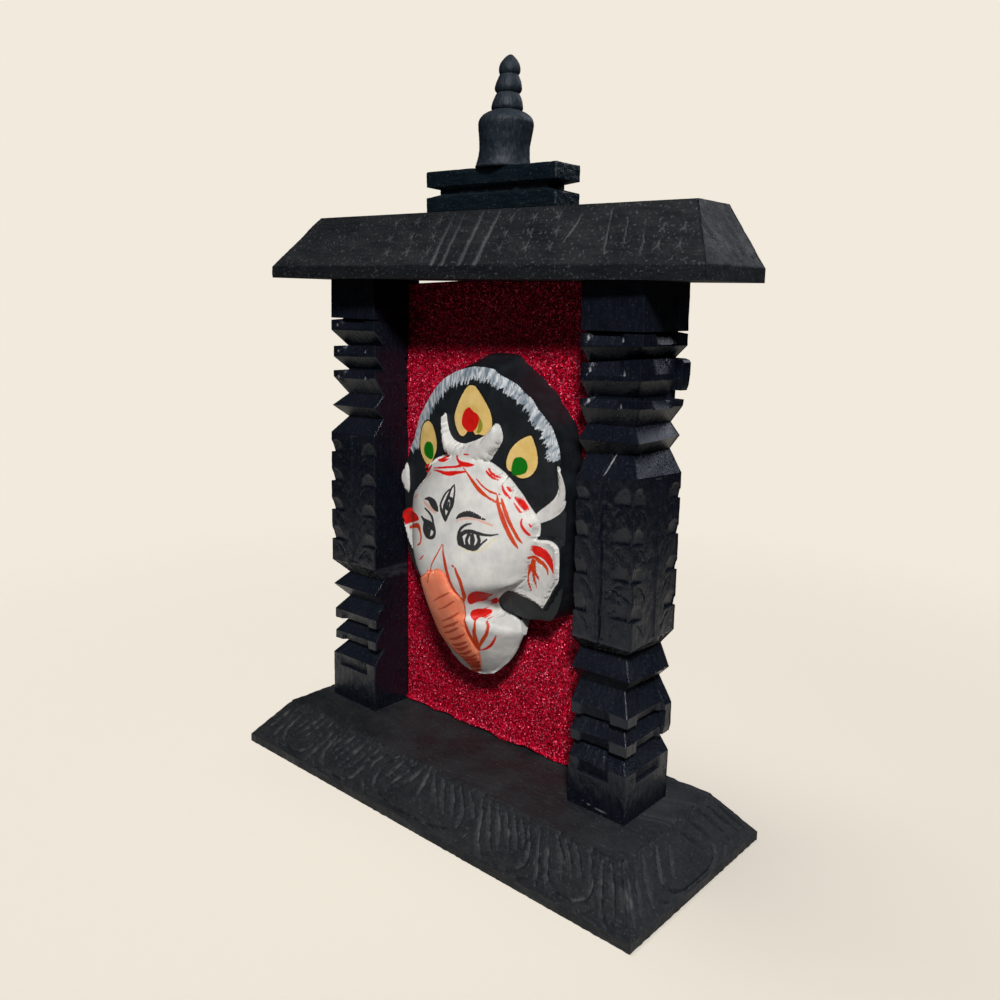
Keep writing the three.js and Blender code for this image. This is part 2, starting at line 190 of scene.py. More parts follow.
def near_line(x, z, line, slack):
    """The places within slack of the box round a line: which they are, and where."""
    low = line[:, :2].min(0) - slack
    high = line[:, :2].max(0) + slack
    near = np.nonzero((x > low[0]) & (x < high[0]) & (z > low[1]) & (z < high[1]))[0]
    return near, np.stack([x[near], z[near]], 1)


def off_segment(at, a, b):
    """How far along a straight run of line each place is, from 0 to 1, and how far off it."""
    run = b - a
    t = np.clip((at - a) @ run / (run @ run + 1e-12), 0, 1)
    off = at - a - t[:, None] * run
    return t, np.hypot(off[:, 0], off[:, 1])


def inside_strokes(x, z, strokes, reach=1.5):
    """How far inside the nearest stroke each place is. A stroke is a row of x, z and half its width there."""
    found = np.full(len(x), -reach)
    for stroke in strokes:
        line = smooth_line(stroke)
        near, at = near_line(x, z, line, reach + line[:, 2].max())
        best = np.full(len(near), -reach)
        for a, b in zip(line, line[1:]):
            t, off = off_segment(at, a[:2], b[:2])
            best = np.maximum(best, a[2] + (b[2] - a[2]) * t - off)
        found[near] = np.maximum(found[near], best)
    return found


def both_sides(strokes):
    """The strokes and their mirror images."""
    return strokes + [[(-x, z, w) for x, z, w in stroke] for stroke in strokes]


def lines_of(bm, columns, rows):
    """Where each vertex of a grid lies along its columns and rows, after any cuts."""
    at = np.array([v.co for v in bm.verts])[:, :2] + 0.5
    along = np.interp(at[:, 0] * (len(columns) - 1), np.arange(len(columns)), columns)
    up = np.interp(at[:, 1] * (len(rows) - 1), np.arange(len(rows)), rows)
    return along, up


def cut_finer(bm, near):
    """Halves the grid where both ends of an edge are wanted finer."""
    edges = [e for e in bm.edges if near[e.verts[0].index] and near[e.verts[1].index]]
    bmesh.ops.subdivide_edges(bm, edges=edges, cuts=1, use_grid_fill=True)
    bm.verts.index_update()


def close(bm):
    """Fills what is open, and turns every face outwards."""
    bmesh.ops.holes_fill(bm, edges=[e for e in bm.edges if e.is_boundary], sides=0)
    bmesh.ops.recalc_face_normals(bm, faces=bm.faces)


def wrapped(columns, rows, place, finer=None):
    """A closed solid from one grid wrapped round it: its columns join up and its two ends are filled."""
    bm = bmesh.new()
    bmesh.ops.create_grid(bm, x_segments=len(columns) - 1, y_segments=len(rows) - 1, size=0.5)
    bm.verts.index_update()
    if finer:
        cut_finer(bm, finer(*lines_of(bm, columns, rows)))
    along, up = lines_of(bm, columns, rows)
    along[along > columns[-1] - 1e-4] = columns[0]
    for v, at in zip(bm.verts, place(along, up) / 1000):
        v.co = at
    bmesh.ops.remove_doubles(bm, verts=bm.verts, dist=1e-6)
    close(bm)
    return bm


def finished(bm, name, sharp=32):
    """The mesh as an object, smooth but for the edges that turn by more than sharp degrees."""
    mesh = bpy.data.meshes.new(name)
    bm.to_mesh(mesh)
    bm.free()
    mesh.shade_smooth()
    mesh.set_sharp_from_angle(angle=math.radians(sharp))
    piece = bpy.data.objects.new(name, mesh)
    bpy.context.scene.collection.objects.link(piece)
    return piece


def keep_field(piece, name, values):
    """Stores one number per vertex for the material to read."""
    field = piece.data.attributes.new(name, "FLOAT", "POINT")
    field.data.foreach_set("value", np.asarray(values, np.float32))


def rough(points, scale, seed=0.0):
    """Smooth noise from -1 to 1 at each point, scale in lumps per millimetre."""
    return np.array([noise.noise(Vector(p) * scale + Vector((seed, seed, seed))) for p in points])


def vertices(piece):
    """The piece's vertices in millimetres."""
    at = np.empty(len(piece.data.vertices) * 3)
    piece.data.vertices.foreach_get("co", at)
    return at.reshape(-1, 3) * 1000


def steps(start, end, step):
    """Even steps from start to end, no longer than step."""
    return list(np.linspace(start, end, max(1, math.ceil(abs(end - start) / step)) + 1))


def eased(value, start, end):
    t = np.clip((value - start) / (end - start), 0, 1)
    return t * t * (3 - 2 * t)


def round_off(distance, radius):
    """How far a rounded arris falls back at a distance from the corner."""
    gap = np.clip(radius - distance, 0, radius)
    return radius - np.sqrt(radius**2 - gap**2)


SLOPE_RISE = BASE_HEIGHT - BASE_EDGE
SLOPE = math.hypot((BASE_SIZE[1] - BASE_TOP[1]) / 2, SLOPE_RISE)
FRONT_GOUGES = both_sides(
    [
        [(4, 22, 0.4), (8, 15.5, 1.3), (14, 9.5, 0.2)],
        [(9.5, 22.3, 0.4), (13.5, 15.5, 1.2), (18, 9, 0.2)],
        [(15.5, 22.3, 0.4), (20, 15, 1.1), (23, 10, 0.2)],
        [(20, 22.5, 0.4), (25.5, 16, 0.9), (27.5, 10.5, 0.9), (25.5, 6, 0.9), (18, 3, 0.9), (8, 2, 0.9),
         (0, 1.8, 0.9)],
        [(25.5, 22.5, 0.4), (30, 18, 0.9), (33, 14, 0.7), (30.5, 11.5, 0.3)],
        [(28, 1, 0.2), (31, 3, 0.8), (34, 7, 0.2)],
        [(33, 22, 0.4), (36.5, 15, 0.9), (39, 8, 1), (43, 3, 1), (50, 1, 1), (58, 1.6, 1), (63.5, 4.8, 1),
         (65.5, 9.5, 0.9), (64, 14, 0.8), (60.5, 20.5, 0.3)],
        [(37.5, 22, 0.4), (41.5, 15, 1.1), (44.5, 9.5, 1), (48.5, 5, 0.3)],
        [(42, 22.4, 0.4), (46.5, 15.5, 1.2), (51.5, 6.5, 0.2)],
        [(46.8, 22.2, 0.4), (51.8, 15, 1.2), (56.5, 8.5, 0.2)],
        [(51.5, 22, 0.4), (56, 15.5, 1.1), (60, 10, 0.2)],
        [(56, 21.5, 0.4), (59.8, 16.5, 0.9), (62.3, 12, 0.2)],
        [(63, 0.8, 0.2), (67, 1.8, 0.7), (70.5, 5, 0.2)],
        [(65, 22.3, 0.4), (69.5, 12, 1), (74.5, 1.6, 0.4)],
        [(70, 22, 0.4), (74, 13, 1), (77.5, 6.5, 1), (82, 3.3, 1), (89, 2.8, 1), (94.8, 5.4, 0.9),
         (97, 9.5, 0.9), (95.5, 14.5, 0.8), (91, 21.5, 0.3)],
        [(74.3, 22.3, 0.4), (79.5, 15.5, 1.1), (84, 8.7, 0.2)],
        [(78.6, 22.4, 0.4), (83.6, 16, 1.1), (87.3, 11, 0.2)],
        [(83, 22.8, 0.4), (87.8, 17, 1), (91.3, 12.3, 0.2)],
        [(94, 1, 0.2), (98, 2.6, 0.8), (102, 6, 0.2)],
        [(97, 22, 0.4), (100.3, 13, 1), (104.3, 5, 0.9), (108.8, 1.2, 0.3)],
        [(101, 21.5, 0.4), (105, 14.5, 1.2), (110, 6.5, 0.2)],
        [(106, 20, 0.3), (111, 12.5, 0.8), (115.5, 5, 0.2)],
    ]
)
FRONT_GOUGES.append([(0, 23.6, 0.9), (0.2, 17, 1.3), (0, 8.5, 0.2)])
END_GOUGES = both_sides(
    [
        [(0, 1, 0.9), (10, 1.5, 0.9), (16.3, 4, 1), (18.5, 8.5, 1), (16.5, 14, 1), (12, 21, 0.3)],
        [(5, 18.5, 0.3), (8.5, 13, 1.1), (12.5, 7.5, 0.2)],
        [(21, 21.5, 0.4), (26, 13, 1.1), (29.5, 4.5, 0.4)],
        [(27.5, 20.5, 0.3), (32.5, 12, 1), (37.5, 4.5, 0.2)],
        [(34, 18, 0.3), (38, 11, 0.9), (43, 3, 0.2)],
        [(20, 1.5, 0.2), (23.5, 3, 0.7), (25.5, 7, 0.2)],
    ]
)


OUTWARD = np.array([[0, -1], [1, 0], [0, 1], [-1, 0]])


def four_sides(along, wide, deep):
    """Where places along a rectangle lie, from its front left corner round by the right: side, x and y."""
    side = np.searchsorted([wide, wide + deep, 2 * wide + deep], along, side="right")
    x = np.choose(side, [along, 0 * along + wide, 2 * wide + deep - along, 0 * along])
    y = np.choose(side, [0 * along, along - wide, 0 * along + deep, 2 * (wide + deep) - along])
    return side, x, y


def place_base(along, up):
    """Places of the base's sides, up from the foot, with the cuts and the wear."""
    wide, deep = BASE_SIZE
    climb = np.clip((up - BASE_EDGE) / SLOPE, 0, 1)
    z = np.where(up < BASE_EDGE, up, BASE_EDGE + climb * SLOPE_RISE)
    side, x, y = four_sides(along, wide, deep)
    x = (x - wide / 2) * (1 - climb * (1 - BASE_TOP[0] / wide))
    y = (y - deep / 2) * (1 - climb * (1 - BASE_TOP[1] / deep))
    face_along = np.choose(side, [x, y, x, -y])
    depth = np.zeros(len(along))
    for which, gouges in ((0, FRONT_GOUGES), (1, END_GOUGES), (3, END_GOUGES)):
        here = (side == which) & (up > BASE_EDGE)
        inside = inside_strokes(face_along[here], up[here] - BASE_EDGE, gouges)
        # Each cut is a round-bottomed trough.
        depth[here] = GOUGE_DEEP * np.sqrt(np.clip(inside / 0.95, 0, 1))
    at = np.stack([x, y, z], 1)
    wobble = 0.28 * rough(at, 0.35, 3) + 0.14 * rough(at, 1.3, 9)
    # The cuts go square into a slope, but level at its top so that the flat top stays flat.
    back = depth + np.clip(wobble, -0.3, 0.3) + BASE_SETBACK
    # The upper edge has crumbled in places.
    back = back + eased(climb, 0.88, 1) * 1.5 * np.clip(rough(at, 0.28, 43) + 0.6 * rough(at, 0.9, 45), 0, 1)
    on_slope = (up > BASE_EDGE) & (climb < 0.999)
    inward = -OUTWARD[side] * (back * np.where(on_slope, BASE_CUT_IN, 1))[:, None]
    z = np.where(up <= 0, 0, np.clip(z - back * BASE_CUT_DOWN * on_slope, 0, BASE_HEIGHT))
    return np.column_stack([at[:, :2] + inward, z])


def ring_columns(sizes, fine):
    """Columns round a rectangle, with their steps for the front, right, back and left."""
    columns = [0.0]
    for size, step in zip(sizes, fine):
        columns += steps(columns[-1], columns[-1] + size, step)[1:]
    return columns


base_columns = ring_columns(BASE_SIZE * 2, (0.62, 0.7, 3, 0.7))
base_rows = [0, 0.5, 1.5, 2.5, 3.4, 4] + [BASE_EDGE + w for w in steps(0, SLOPE, 0.6)[1:]]
base = finished(wrapped(base_columns, base_rows, place_base), "carved_base", 38)


def blackened_wood(name, dark, pale, dust, grain, gloss, dusty, specular=0.3, specks=0.3):
    """Soft wood stained black. grain is the size of the fibres along X, Y and Z in millimetres. The eye gets
    a near-black with fine streaks along the fibres, dull dust on what faces up, pale specks, a broken, low
    gloss, and a pale colour where a vertex field asks for it: painted glints at the stops and chipped wood."""
    wood, tree, shader = new_material(name)
    place = add(tree, "TexCoord")
    here = {"Vector": place.outputs["Object"]}
    stretch = add(tree, "Mapping", {"Scale": [1000 / g for g in grain]}, here)
    fibres = add(tree, "TexNoise", {"Scale": 1.0, "Detail": 5.0, "Roughness": 0.62}, {"Vector": stretch})
    blotch = add(tree, "TexNoise", {"Scale": 55.0, "Detail": 4.0, "Roughness": 0.6}, here)
    speck = add(tree, "TexNoise", {"Scale": 900.0, "Detail": 3.0}, here)
    streak = add(tree, "MapRange", {"From Min": 0.35, "From Max": 0.75}, {"Value": fibres.outputs["Fac"]})
    stain = add(tree, "Mix", {6: linear(dark), 7: linear(pale)}, {0: streak}, data_type="RGBA")
    facing = add(tree, "SeparateXYZ", links={0: place.outputs["Normal"]})
    level = add(tree, "MapRange", {"From Min": 0.15, "From Max": 0.95}, {"Value": facing.outputs["Z"]})
    patchy = add(tree, "MapRange", {"From Min": 0.38, "From Max": 0.68}, {"Value": blotch.outputs["Fac"]})
    worn = add(tree, "Attribute", attribute_name="worn")
    settled = add(tree, "Math", {1: dusty}, {0: level}, operation="MULTIPLY")
    rubbed = add(tree, "Math", links={0: settled, 1: worn.outputs["Fac"]}, operation="ADD")
    broken = add(tree, "MapRange", {"To Min": 0.45, "To Max": 1.15}, {"Value": patchy})
    pale_specks = {"From Min": 0.6, "From Max": 0.7, "To Max": specks}
    specked = add(tree, "MapRange", pale_specks, {"Value": speck.outputs["Fac"]})
    amount = add(
        tree,
        "Math",
        links={0: rubbed, 1: broken, 2: specked},
        operation="MULTIPLY_ADD",
        use_clamp=True,
    )
    dusted = add(tree, "Mix", {7: linear(dust)}, {0: amount, 6: stain.outputs[2]}, data_type="RGBA")
    # Painted glints at the posts' stops and chipped pale wood, where the vertex field asks for them.
    bare_wood_and_glint = add(tree, "Attribute", attribute_name="bare_wood_and_glint")
    pale_chip_and_glint = linear("#c3c9cf")
    colour = add(
        tree, "Mix", {7: pale_chip_and_glint}, {0: bare_wood_and_glint.outputs["Fac"], 6: dusted.outputs[2]}, data_type="RGBA"
    )
    dull = add(tree, "MapRange", {"To Min": gloss[0], "To Max": gloss[1]}, {"Value": patchy})
    duller = add(tree, "Math", {1: 0.35}, {0: amount}, operation="MULTIPLY")
    gloss_sum = add(tree, "Math", links={0: dull, 1: duller}, operation="ADD", use_clamp=True)
    relief = add(tree, "Math", {1: 0.35}, {0: speck.outputs["Fac"]}, operation="MULTIPLY")
    relief = add(tree, "Math", links={0: relief, 1: fibres.outputs["Fac"]}, operation="ADD")
    bump = add(tree, "Bump", {"Strength": 0.55, "Distance": 0.0005}, {"Height": relief})
    feed(shader, {"Base Color": colour.outputs[2], "Roughness": gloss_sum, "Normal": bump})
    shader.inputs["Specular IOR Level"].default_value = specular
    shader.inputs["Specular Tint"].default_value = linear("#e7f1ff")
    return wood


dusty_wood = blackened_wood(
    "dusty black stained softwood", "#101216", "#24262b", "#5c5f60", (9, 0.9, 0.9),
    (0.5, 0.75), 0.16, specks=0.28,
)
base.data.materials.append(dusty_wood)
at = vertices(base)
slope_up = BASE_EDGE + (at[:, 2] - BASE_EDGE) / SLOPE_RISE * SLOPE
front = inside_strokes(at[:, 0], slope_up - BASE_EDGE, FRONT_GOUGES) * (at[:, 1] < 0)
front_face = (-at[:, 1] * BASE_SIZE[0] > np.abs(at[:, 0]) * BASE_SIZE[1] - 2000) & (at[:, 1] < -20)
ragged = np.clip(0.4 + 1.5 * rough(at, 0.35, 41), 0, 1)
keep_field(base, "worn", np.clip(np.where(front_face, front, -1) * 1.8, 0, 0.8) * ragged)
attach(base, "root")
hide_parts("base")

# Each pillar is one square post of soft wood, stained black and varnished. Saw cuts and chisel slopes notch
# its front and its outer face, each nose is chamfered between two stops, and petals are scooped along its
# edges. The cuts were made by eye, so none is quite level, and the left post is from wider stock.
POST_INNER, POST_FRONT = 62.25, -13.45
POST_DEEP, POST_HIGH = 31.5, 216
NOTCH = 6
NOSE = 0.8
SAW_CUT = 4
# Height above the foot and how far the wood is cut in, at the corners and in the middle of a face.
POST_CORNERS = [
    (0, 0), (21.5, 0), (28.3, 5.6), (29.3, 5.8), (29.35, NOSE), (33.5, NOSE), (40.6, NOTCH), (40.65, NOSE),
    (45, NOSE), (53.5, NOTCH), (60, 0.4), (68, NOTCH), (74.5, 0), (140.5, 0), (149.3, NOTCH), (155, 0.4),
    (160.5, NOTCH), (168, NOSE), (170.7, NOSE), (170.75, NOTCH), (171.6, NOTCH), (178, NOSE),
    (185.3, NOSE), (185.35, NOTCH), (191.3, 0), (196.2, 0), (196.25, SAW_CUT), (197.2, SAW_CUT),
    (197.25, 0), (216, 0),
]  # fmt: skip
POST_MIDDLE = [
    (0, 0), (16, 0), (16.05, 1.5), (21.5, 0.1), (28.3, 5.6), (29.3, 5.8), (29.35, 2.7), (33.5, NOSE),
    (40.6, NOTCH), (40.65, 2.7), (45, NOSE), (53.5, NOTCH), (60, 0.4), (68, NOTCH), (74.5, 0), (140.5, 0),
    (149.3, NOTCH), (155, 0.4), (160.5, NOTCH), (167.4, NOSE), (168, 1.2), (170.7, 3.4), (170.75, NOTCH),
    (171.6, NOTCH), (178, NOSE), (180, NOSE), (185.3, 3.8), (185.35, NOTCH), (191.3, 0), (192, 0),
    (196.2, 2.4), (196.25, SAW_CUT), (197.2, SAW_CUT), (197.25, 0), (216, 0),
]  # fmt: skip
# The outer face's back corner keeps two blocks whole, the upper one proud of the face.
POST_BACK = [
    (0, 0), (21.5, 0), (28.3, 5.6), (29.9, 5.8), (29.95, 0.1), (33, -0.6), (43, -0.6), (45, 0.4),
    (53.5, NOTCH), (60, 1.4), (68, NOTCH), (74.5, 0), (140.5, 0), (149.3, NOTCH), (155, 1.6),
    (160.5, NOTCH), (168, NOSE), (170.7, 0.4), (170.75, 4.6), (174, 4.6), (174.1, -0.6), (176, -1.4),
    (180, -1.9), (184, -1.9), (184.9, -1), (185.3, 0.6), (185.35, 5.2), (191.3, 0), (196.2, 0),
    (196.25, 4.6), (197.2, 4.6), (197.25, 0), (216, 0),
]  # fmt: skip
# How far the cuts near each height lie above it: at the inner edge, the front outer edge and the back edge.
RIGHT_TILT = [
    (0, 0, 0, 0), (22, -0.5, -0.5, 0), (29, -1, -0.4, 0.5), (40.5, -0.8, 0.5, 0.5), (45.3, 0, 0.2, 0),
    (53.8, -0.6, 1.2, 0.2), (60.2, 0, 1, -1.5), (68.3, -0.6, 1.2, 0), (74.6, -1.2, -0.6, 0.8),
    (88, -0.5, 0.4, 0.6), (130, 0, 0.5, 0.5), (140.5, -2, 2, 0.6), (149.4, -1, 1, 0.9),
    (155.2, -0.6, 0.6, 1), (160.5, -0.5, 0.5, 0.5), (171, -0.2, 0.5, -0.3), (185.4, -1.1, 1.6, 1.3),
    (191.8, -0.8, 0.5, 0.3), (196.5, -0.3, 0, 0), (216, 0, 0, 0),
]  # fmt: skip
LEFT_TILT = [
    (0, 0, 0, 0), (22, 2.5, 2, 2), (29.3, 2.8, 2, 2), (40.6, 3, 1.9, 1.9), (45, 3, 2.4, 2.4),
    (53.5, 1.8, 0.8, 0.8), (60.2, 1.4, 0.8, 0.8), (68.3, -0.3, -0.9, -0.9), (74.6, 0, -0.8, -0.8),
    (88, 0, 0, 0), (130, 0.6, 0, 0), (140.5, 1, -0.1, -0.1), (149.4, 0.2, -0.8, -0.8), (155.2, 0, -1, -1),
    (160.5, 0.3, -0.5, -0.5), (171, 1.8, 0.7, 0.7), (178, 1.6, 0.2, 0.2), (185.4, -0.4, -1.9, -1.9),
    (191.8, 0.6, 0.2, 0.2), (196.5, 0, 0, 0), (216, 0, 0, 0),
]  # fmt: skip
PETAL_LEDGES = (85.1, 100.3, 115.3, 130.3)
PETAL_HIGH = 6.3
PETAL_DEEP = 1.5
SHAFT = (76, 139.5)
LEAF_LINE_DEEP, CHANNEL_DEEP, CRACK_DEEP, BAND_DEEP, PIT_DEEP = 0.4, 0.5, 1.4, 0.5, 0.42
# The petals' columns on a face, each its middle and half its width, and where the chamfers start and end.
OUTER_PETALS = [(1.7, 4.8), (27.5, 5)]
OUTER_CHAMFERS = ((7.9, 24), (10.2, 22.2))
ARRIS_ROUND = 0.5
# Rough pits that the chisel left at the stops catch the light: across the face, height, size.
RIGHT_FRONT_PITS = [
    (3.2, 194.2, 1.3), (19.8, 193.8, 1.2), (3.6, 181.8, 1.5), (20.6, 181.2, 1.2), (3.2, 169.8, 1.4),
    (19.4, 169, 1.1), (18.6, 24.4, 0.9), (16.8, 40.6, 0.9), (14.4, 129.8, 1),
]  # fmt: skip
LEFT_FRONT_PITS = [
    (25.8, 181.2, 1.6), (5.6, 181.6, 1.2), (26.4, 168, 1.6), (5.8, 168.6, 1.2), (25.6, 193.6, 1),
    (27.4, 19.6, 0.9), (9.4, 20.4, 1),
]  # fmt: skip
OUTER_PITS = [(5.4, 34.4, 0.9), (5, 17.6, 1), (12.2, 41, 0.8), (5.8, 170, 1.1), (17.6, 35.6, 0.7)]


def chamfered(across, height, windows):
    """How much a place lies on the chamfers, from 0 to 1. The lower end crisply, the upper run out."""
    low, high = windows
    crisp = eased(across, low[0] - 0.5, low[0] + 0.6) * eased(-across, -low[1] - 0.5, -low[1] + 0.6)
    soft = eased(across, high[0] - 2.2, high[0] + 2) * eased(-across, -high[1] - 2.2, -high[1] + 2)
    return np.where(height < 100, crisp, soft)


def cut_in(across, height, windows, wide, whole_back):
    """How far a notched face is cut in."""
    corner = np.interp(height, *np.array(POST_CORNERS).T)
    middle = np.interp(height, *np.array(POST_MIDDLE).T)
    if whole_back:
        back = np.interp(height, *np.array(POST_BACK).T)
        corner = np.where(across > wide - 5.5, back, corner)
    return corner + (middle - corner) * chamfered(across, height, windows)


def petals(across, height, columns, wide):
    """Depth of the scooped petals, the lines of the leaves below them and the shaft's middle channel."""
    depth = np.zeros(len(across))
    lines = []
    for centre, half_wide in columns:
        inward = 1 if centre < wide / 2 else -1
        for i, ledge in enumerate(PETAL_LEDGES):
            up = (height - ledge) / PETAL_HIGH
            half = half_wide * np.sqrt(np.clip(1 - up**2, 0, 1))
            off = np.abs(across - centre)
            inside = (up > 0) & (off < half)
            hollow = PETAL_DEEP * (1 - 0.8 * up) * np.clip(1 - (off / (half + 1e-6)) ** 2, 0, 1) ** 0.35
            depth = np.where(inside, np.maximum(depth, hollow), depth)
            foot = half_wide + 1.2 + 0.5 * math.sin(3 * i + wide)
            lines.append(
                [(centre + inward * 0.8, ledge - 1.1, 0.1), (centre + inward * 3.4, ledge - 2.2, 0.32)]
                + [
                    (centre + inward * foot, ledge - 6, 0.3),
                    (centre + inward * (foot + 0.4), ledge - 8.6, 0.08),
                ]
            )
    depth = np.maximum(depth, LEAF_LINE_DEEP * np.clip(inside_strokes(across, height, lines) / 0.3, 0, 1))
    channel = [[(wide * 0.46, 76, 2.1), (wide * 0.46, 130, 2.1), (wide * 0.48, 150, 3)]]
    return np.maximum(depth, CHANNEL_DEEP * np.clip(inside_strokes(across, height, channel) / 0.4, 0, 1))


def pitted(across, height, pits):
    depth = np.zeros(len(across))
    for x, up, size in pits:
        share = np.hypot(across - x, (height - up) * 0.7) / size
        depth = np.maximum(depth, PIT_DEEP * size * np.clip(1 - share**2, 0, 1))
    return depth


CRACK = [[(13.2, 70, 0.1), (13.4, 80, 0.5), (13.7, 102, 0.55), (12.9, 120, 0.5), (12.2, 139, 0.1)]]
LEAF_BANDS = [
    [(15, 95, 0.1), (19, 96.2, 0.4), (23.5, 95.6, 0.4), (28.5, 93.4, 0.2)],
    [(14.6, 92.4, 0.1), (19, 93, 0.4), (24, 91.8, 0.4), (27, 90.6, 0.2)],
    [(15, 84.5, 0.1), (18, 87.2, 0.3), (21.5, 87.8, 0.3), (26, 86, 0.1)],
]


def place_post(mirror):
    def place(along, up):
        wide, deep = (LEFT_WIDE if mirror else RIGHT_WIDE), POST_DEEP
        side, x, y = four_sides(along, wide, deep)
        windows = ((6.4, 25.8), (8, 24)) if mirror else ((5, 20), (3.8, 19.2))
        columns = [(4.2, 5.2), (wide - 3.2, 5.4)] if mirror else [(2.8, 4.5), (wide - 5.6, 4)]
        on_shaft = (up > SHAFT[0]) & (up < SHAFT[1])

        def front_cut(at_x):
            scoops = np.where(on_shaft, petals(at_x, up, columns, wide), 0)
            return cut_in(at_x, up, windows, wide, False) + scoops

        def outer_cut(at_y):
            scoops = np.where(on_shaft, petals(at_y, up, OUTER_PETALS, deep), 0)
            return cut_in(at_y, up, OUTER_CHAMFERS, deep, True) + scoops

        # A face between cut corners is drawn in to meet them.
        front_inner, front_outer = front_cut(0 * x), front_cut(0 * x + wide)
        outer_front, outer_back = outer_cut(0 * y), outer_cut(0 * y + deep)
        x_fit = np.where(side == 0, x * (wide - outer_front) / wide, x)
        x_fit = np.where(side == 2, x * (wide - outer_back) / wide, x_fit)
        y_fit = np.where(side == 1, deep - (deep - y) * (deep - front_outer) / deep, y)
        y_fit = np.where(side == 3, deep - (deep - y) * (deep - front_inner) / deep, y_fit)
        pits = LEFT_FRONT_PITS if mirror else RIGHT_FRONT_PITS
        front = front_cut(x) + pitted(x, up, pits) * (side == 0)
        outer = outer_cut(y) + pitted(y, up, OUTER_PITS) * (side == 1)
        if not mirror:
            for strokes, deep_cut in ((CRACK, CRACK_DEEP), (LEAF_BANDS, BAND_DEEP)):
                front = front + deep_cut * np.clip(inside_strokes(x, up, strokes) / 0.35, 0, 1) * (side == 0)
        x_fit = np.where(side == 1, wide - outer, x_fit)
        y_fit = np.where(side == 0, front, y_fit)
        from_x = np.minimum(x, wide - x)
        from_y = np.minimum(y, deep - y)
        worn = np.where(
            (side == 0) | (side == 2), round_off(from_x, ARRIS_ROUND), round_off(from_y, ARRIS_ROUND)
        )
        at = np.stack([x, y, up], 1)
        if mirror:
            at = at * [-1, 1, 1]
        tool = 0.2 * rough(at * [1, 1, 0.5], 0.45, 5) + 0.08 * rough(at * [1, 1, 0.35], 1.8, 7)
        ragged = np.clip((3 - up) / 3, 0, 1) * np.abs(rough(at, 1.1, 11)) * 0.9
        back = worn + np.clip(tool + 0.2, 0, 1) + ragged * (side < 2)
        # The slope below the shaft was broken off rather than cut.
        torn = eased(up, 67.5, 69) * eased(-up, -74.6, -73.6) * (side < 2)
        back = back + torn * (0.5 + 0.9 * rough(at * [1, 1, 0.45], 1.4, 13))
        x_fit = x_fit - OUTWARD[side, 0] * back
        y_fit = y_fit - OUTWARD[side, 1] * back
        share = np.choose(side, [x / wide, y / deep, 1 - x / wide, 0 * x])
        tilt = np.array(LEFT_TILT if mirror else RIGHT_TILT)
        inner, middle, behind = (np.interp(up, tilt[:, 0], column) for column in tilt.T[1:])
        start = np.choose(side, [inner, middle, behind, inner])
        end = np.choose(side, [middle, behind, inner, inner])
        z = BASE_HEIGHT + up + start + (end - start) * share
        if mirror:
            # The wider left post swells at its middle, and leans into the opening in front of the cloth.
            x_fit = x_fit * np.interp(up, [0, 105, POST_HIGH], [1.05, 1.073, 1.022])
            x_fit = x_fit - LEFT_LEAN * up / POST_HIGH * np.where(y_fit < CLOTH_BEHIND, 1, x / wide)
        x_out = POST_INNER + x_fit
        return np.stack([-x_out if mirror else x_out, POST_FRONT + y_fit, z], 1)

    return place


# Pale marks on the right post: on the pits at the stops they are painted glints, and a scratch on the slope
# above the shaft and a streak at the foot show the pale wood.
RIGHT_GLINTS_AND_SCRATCHES = [[(x, up + 0.8, 0.3), (x + 0.3, up - 0.3, 0.45)] for x, up, size in RIGHT_FRONT_PITS[:6]]
RIGHT_GLINTS_AND_SCRATCHES += [[(15.2, 150, 0.08), (14.3, 146, 0.3), (13, 141.5, 0.1)]]
RIGHT_GLINTS_AND_SCRATCHES += [[(8, 3.2, 0.02), (16, 2.2, 0.08), (26, 2.6, 0.02)]]
# On the left post all the pale marks are painted glints on the pits at its stops.
LEFT_GLINTS = [[(x, up + 0.6, 0.2), (x + 0.2, up - 0.2, 0.3)] for x, up, size in LEFT_FRONT_PITS[:5]]
LEFT_WIDE, RIGHT_WIDE = 31.5, 29.5
LEFT_LEAN = 2.2
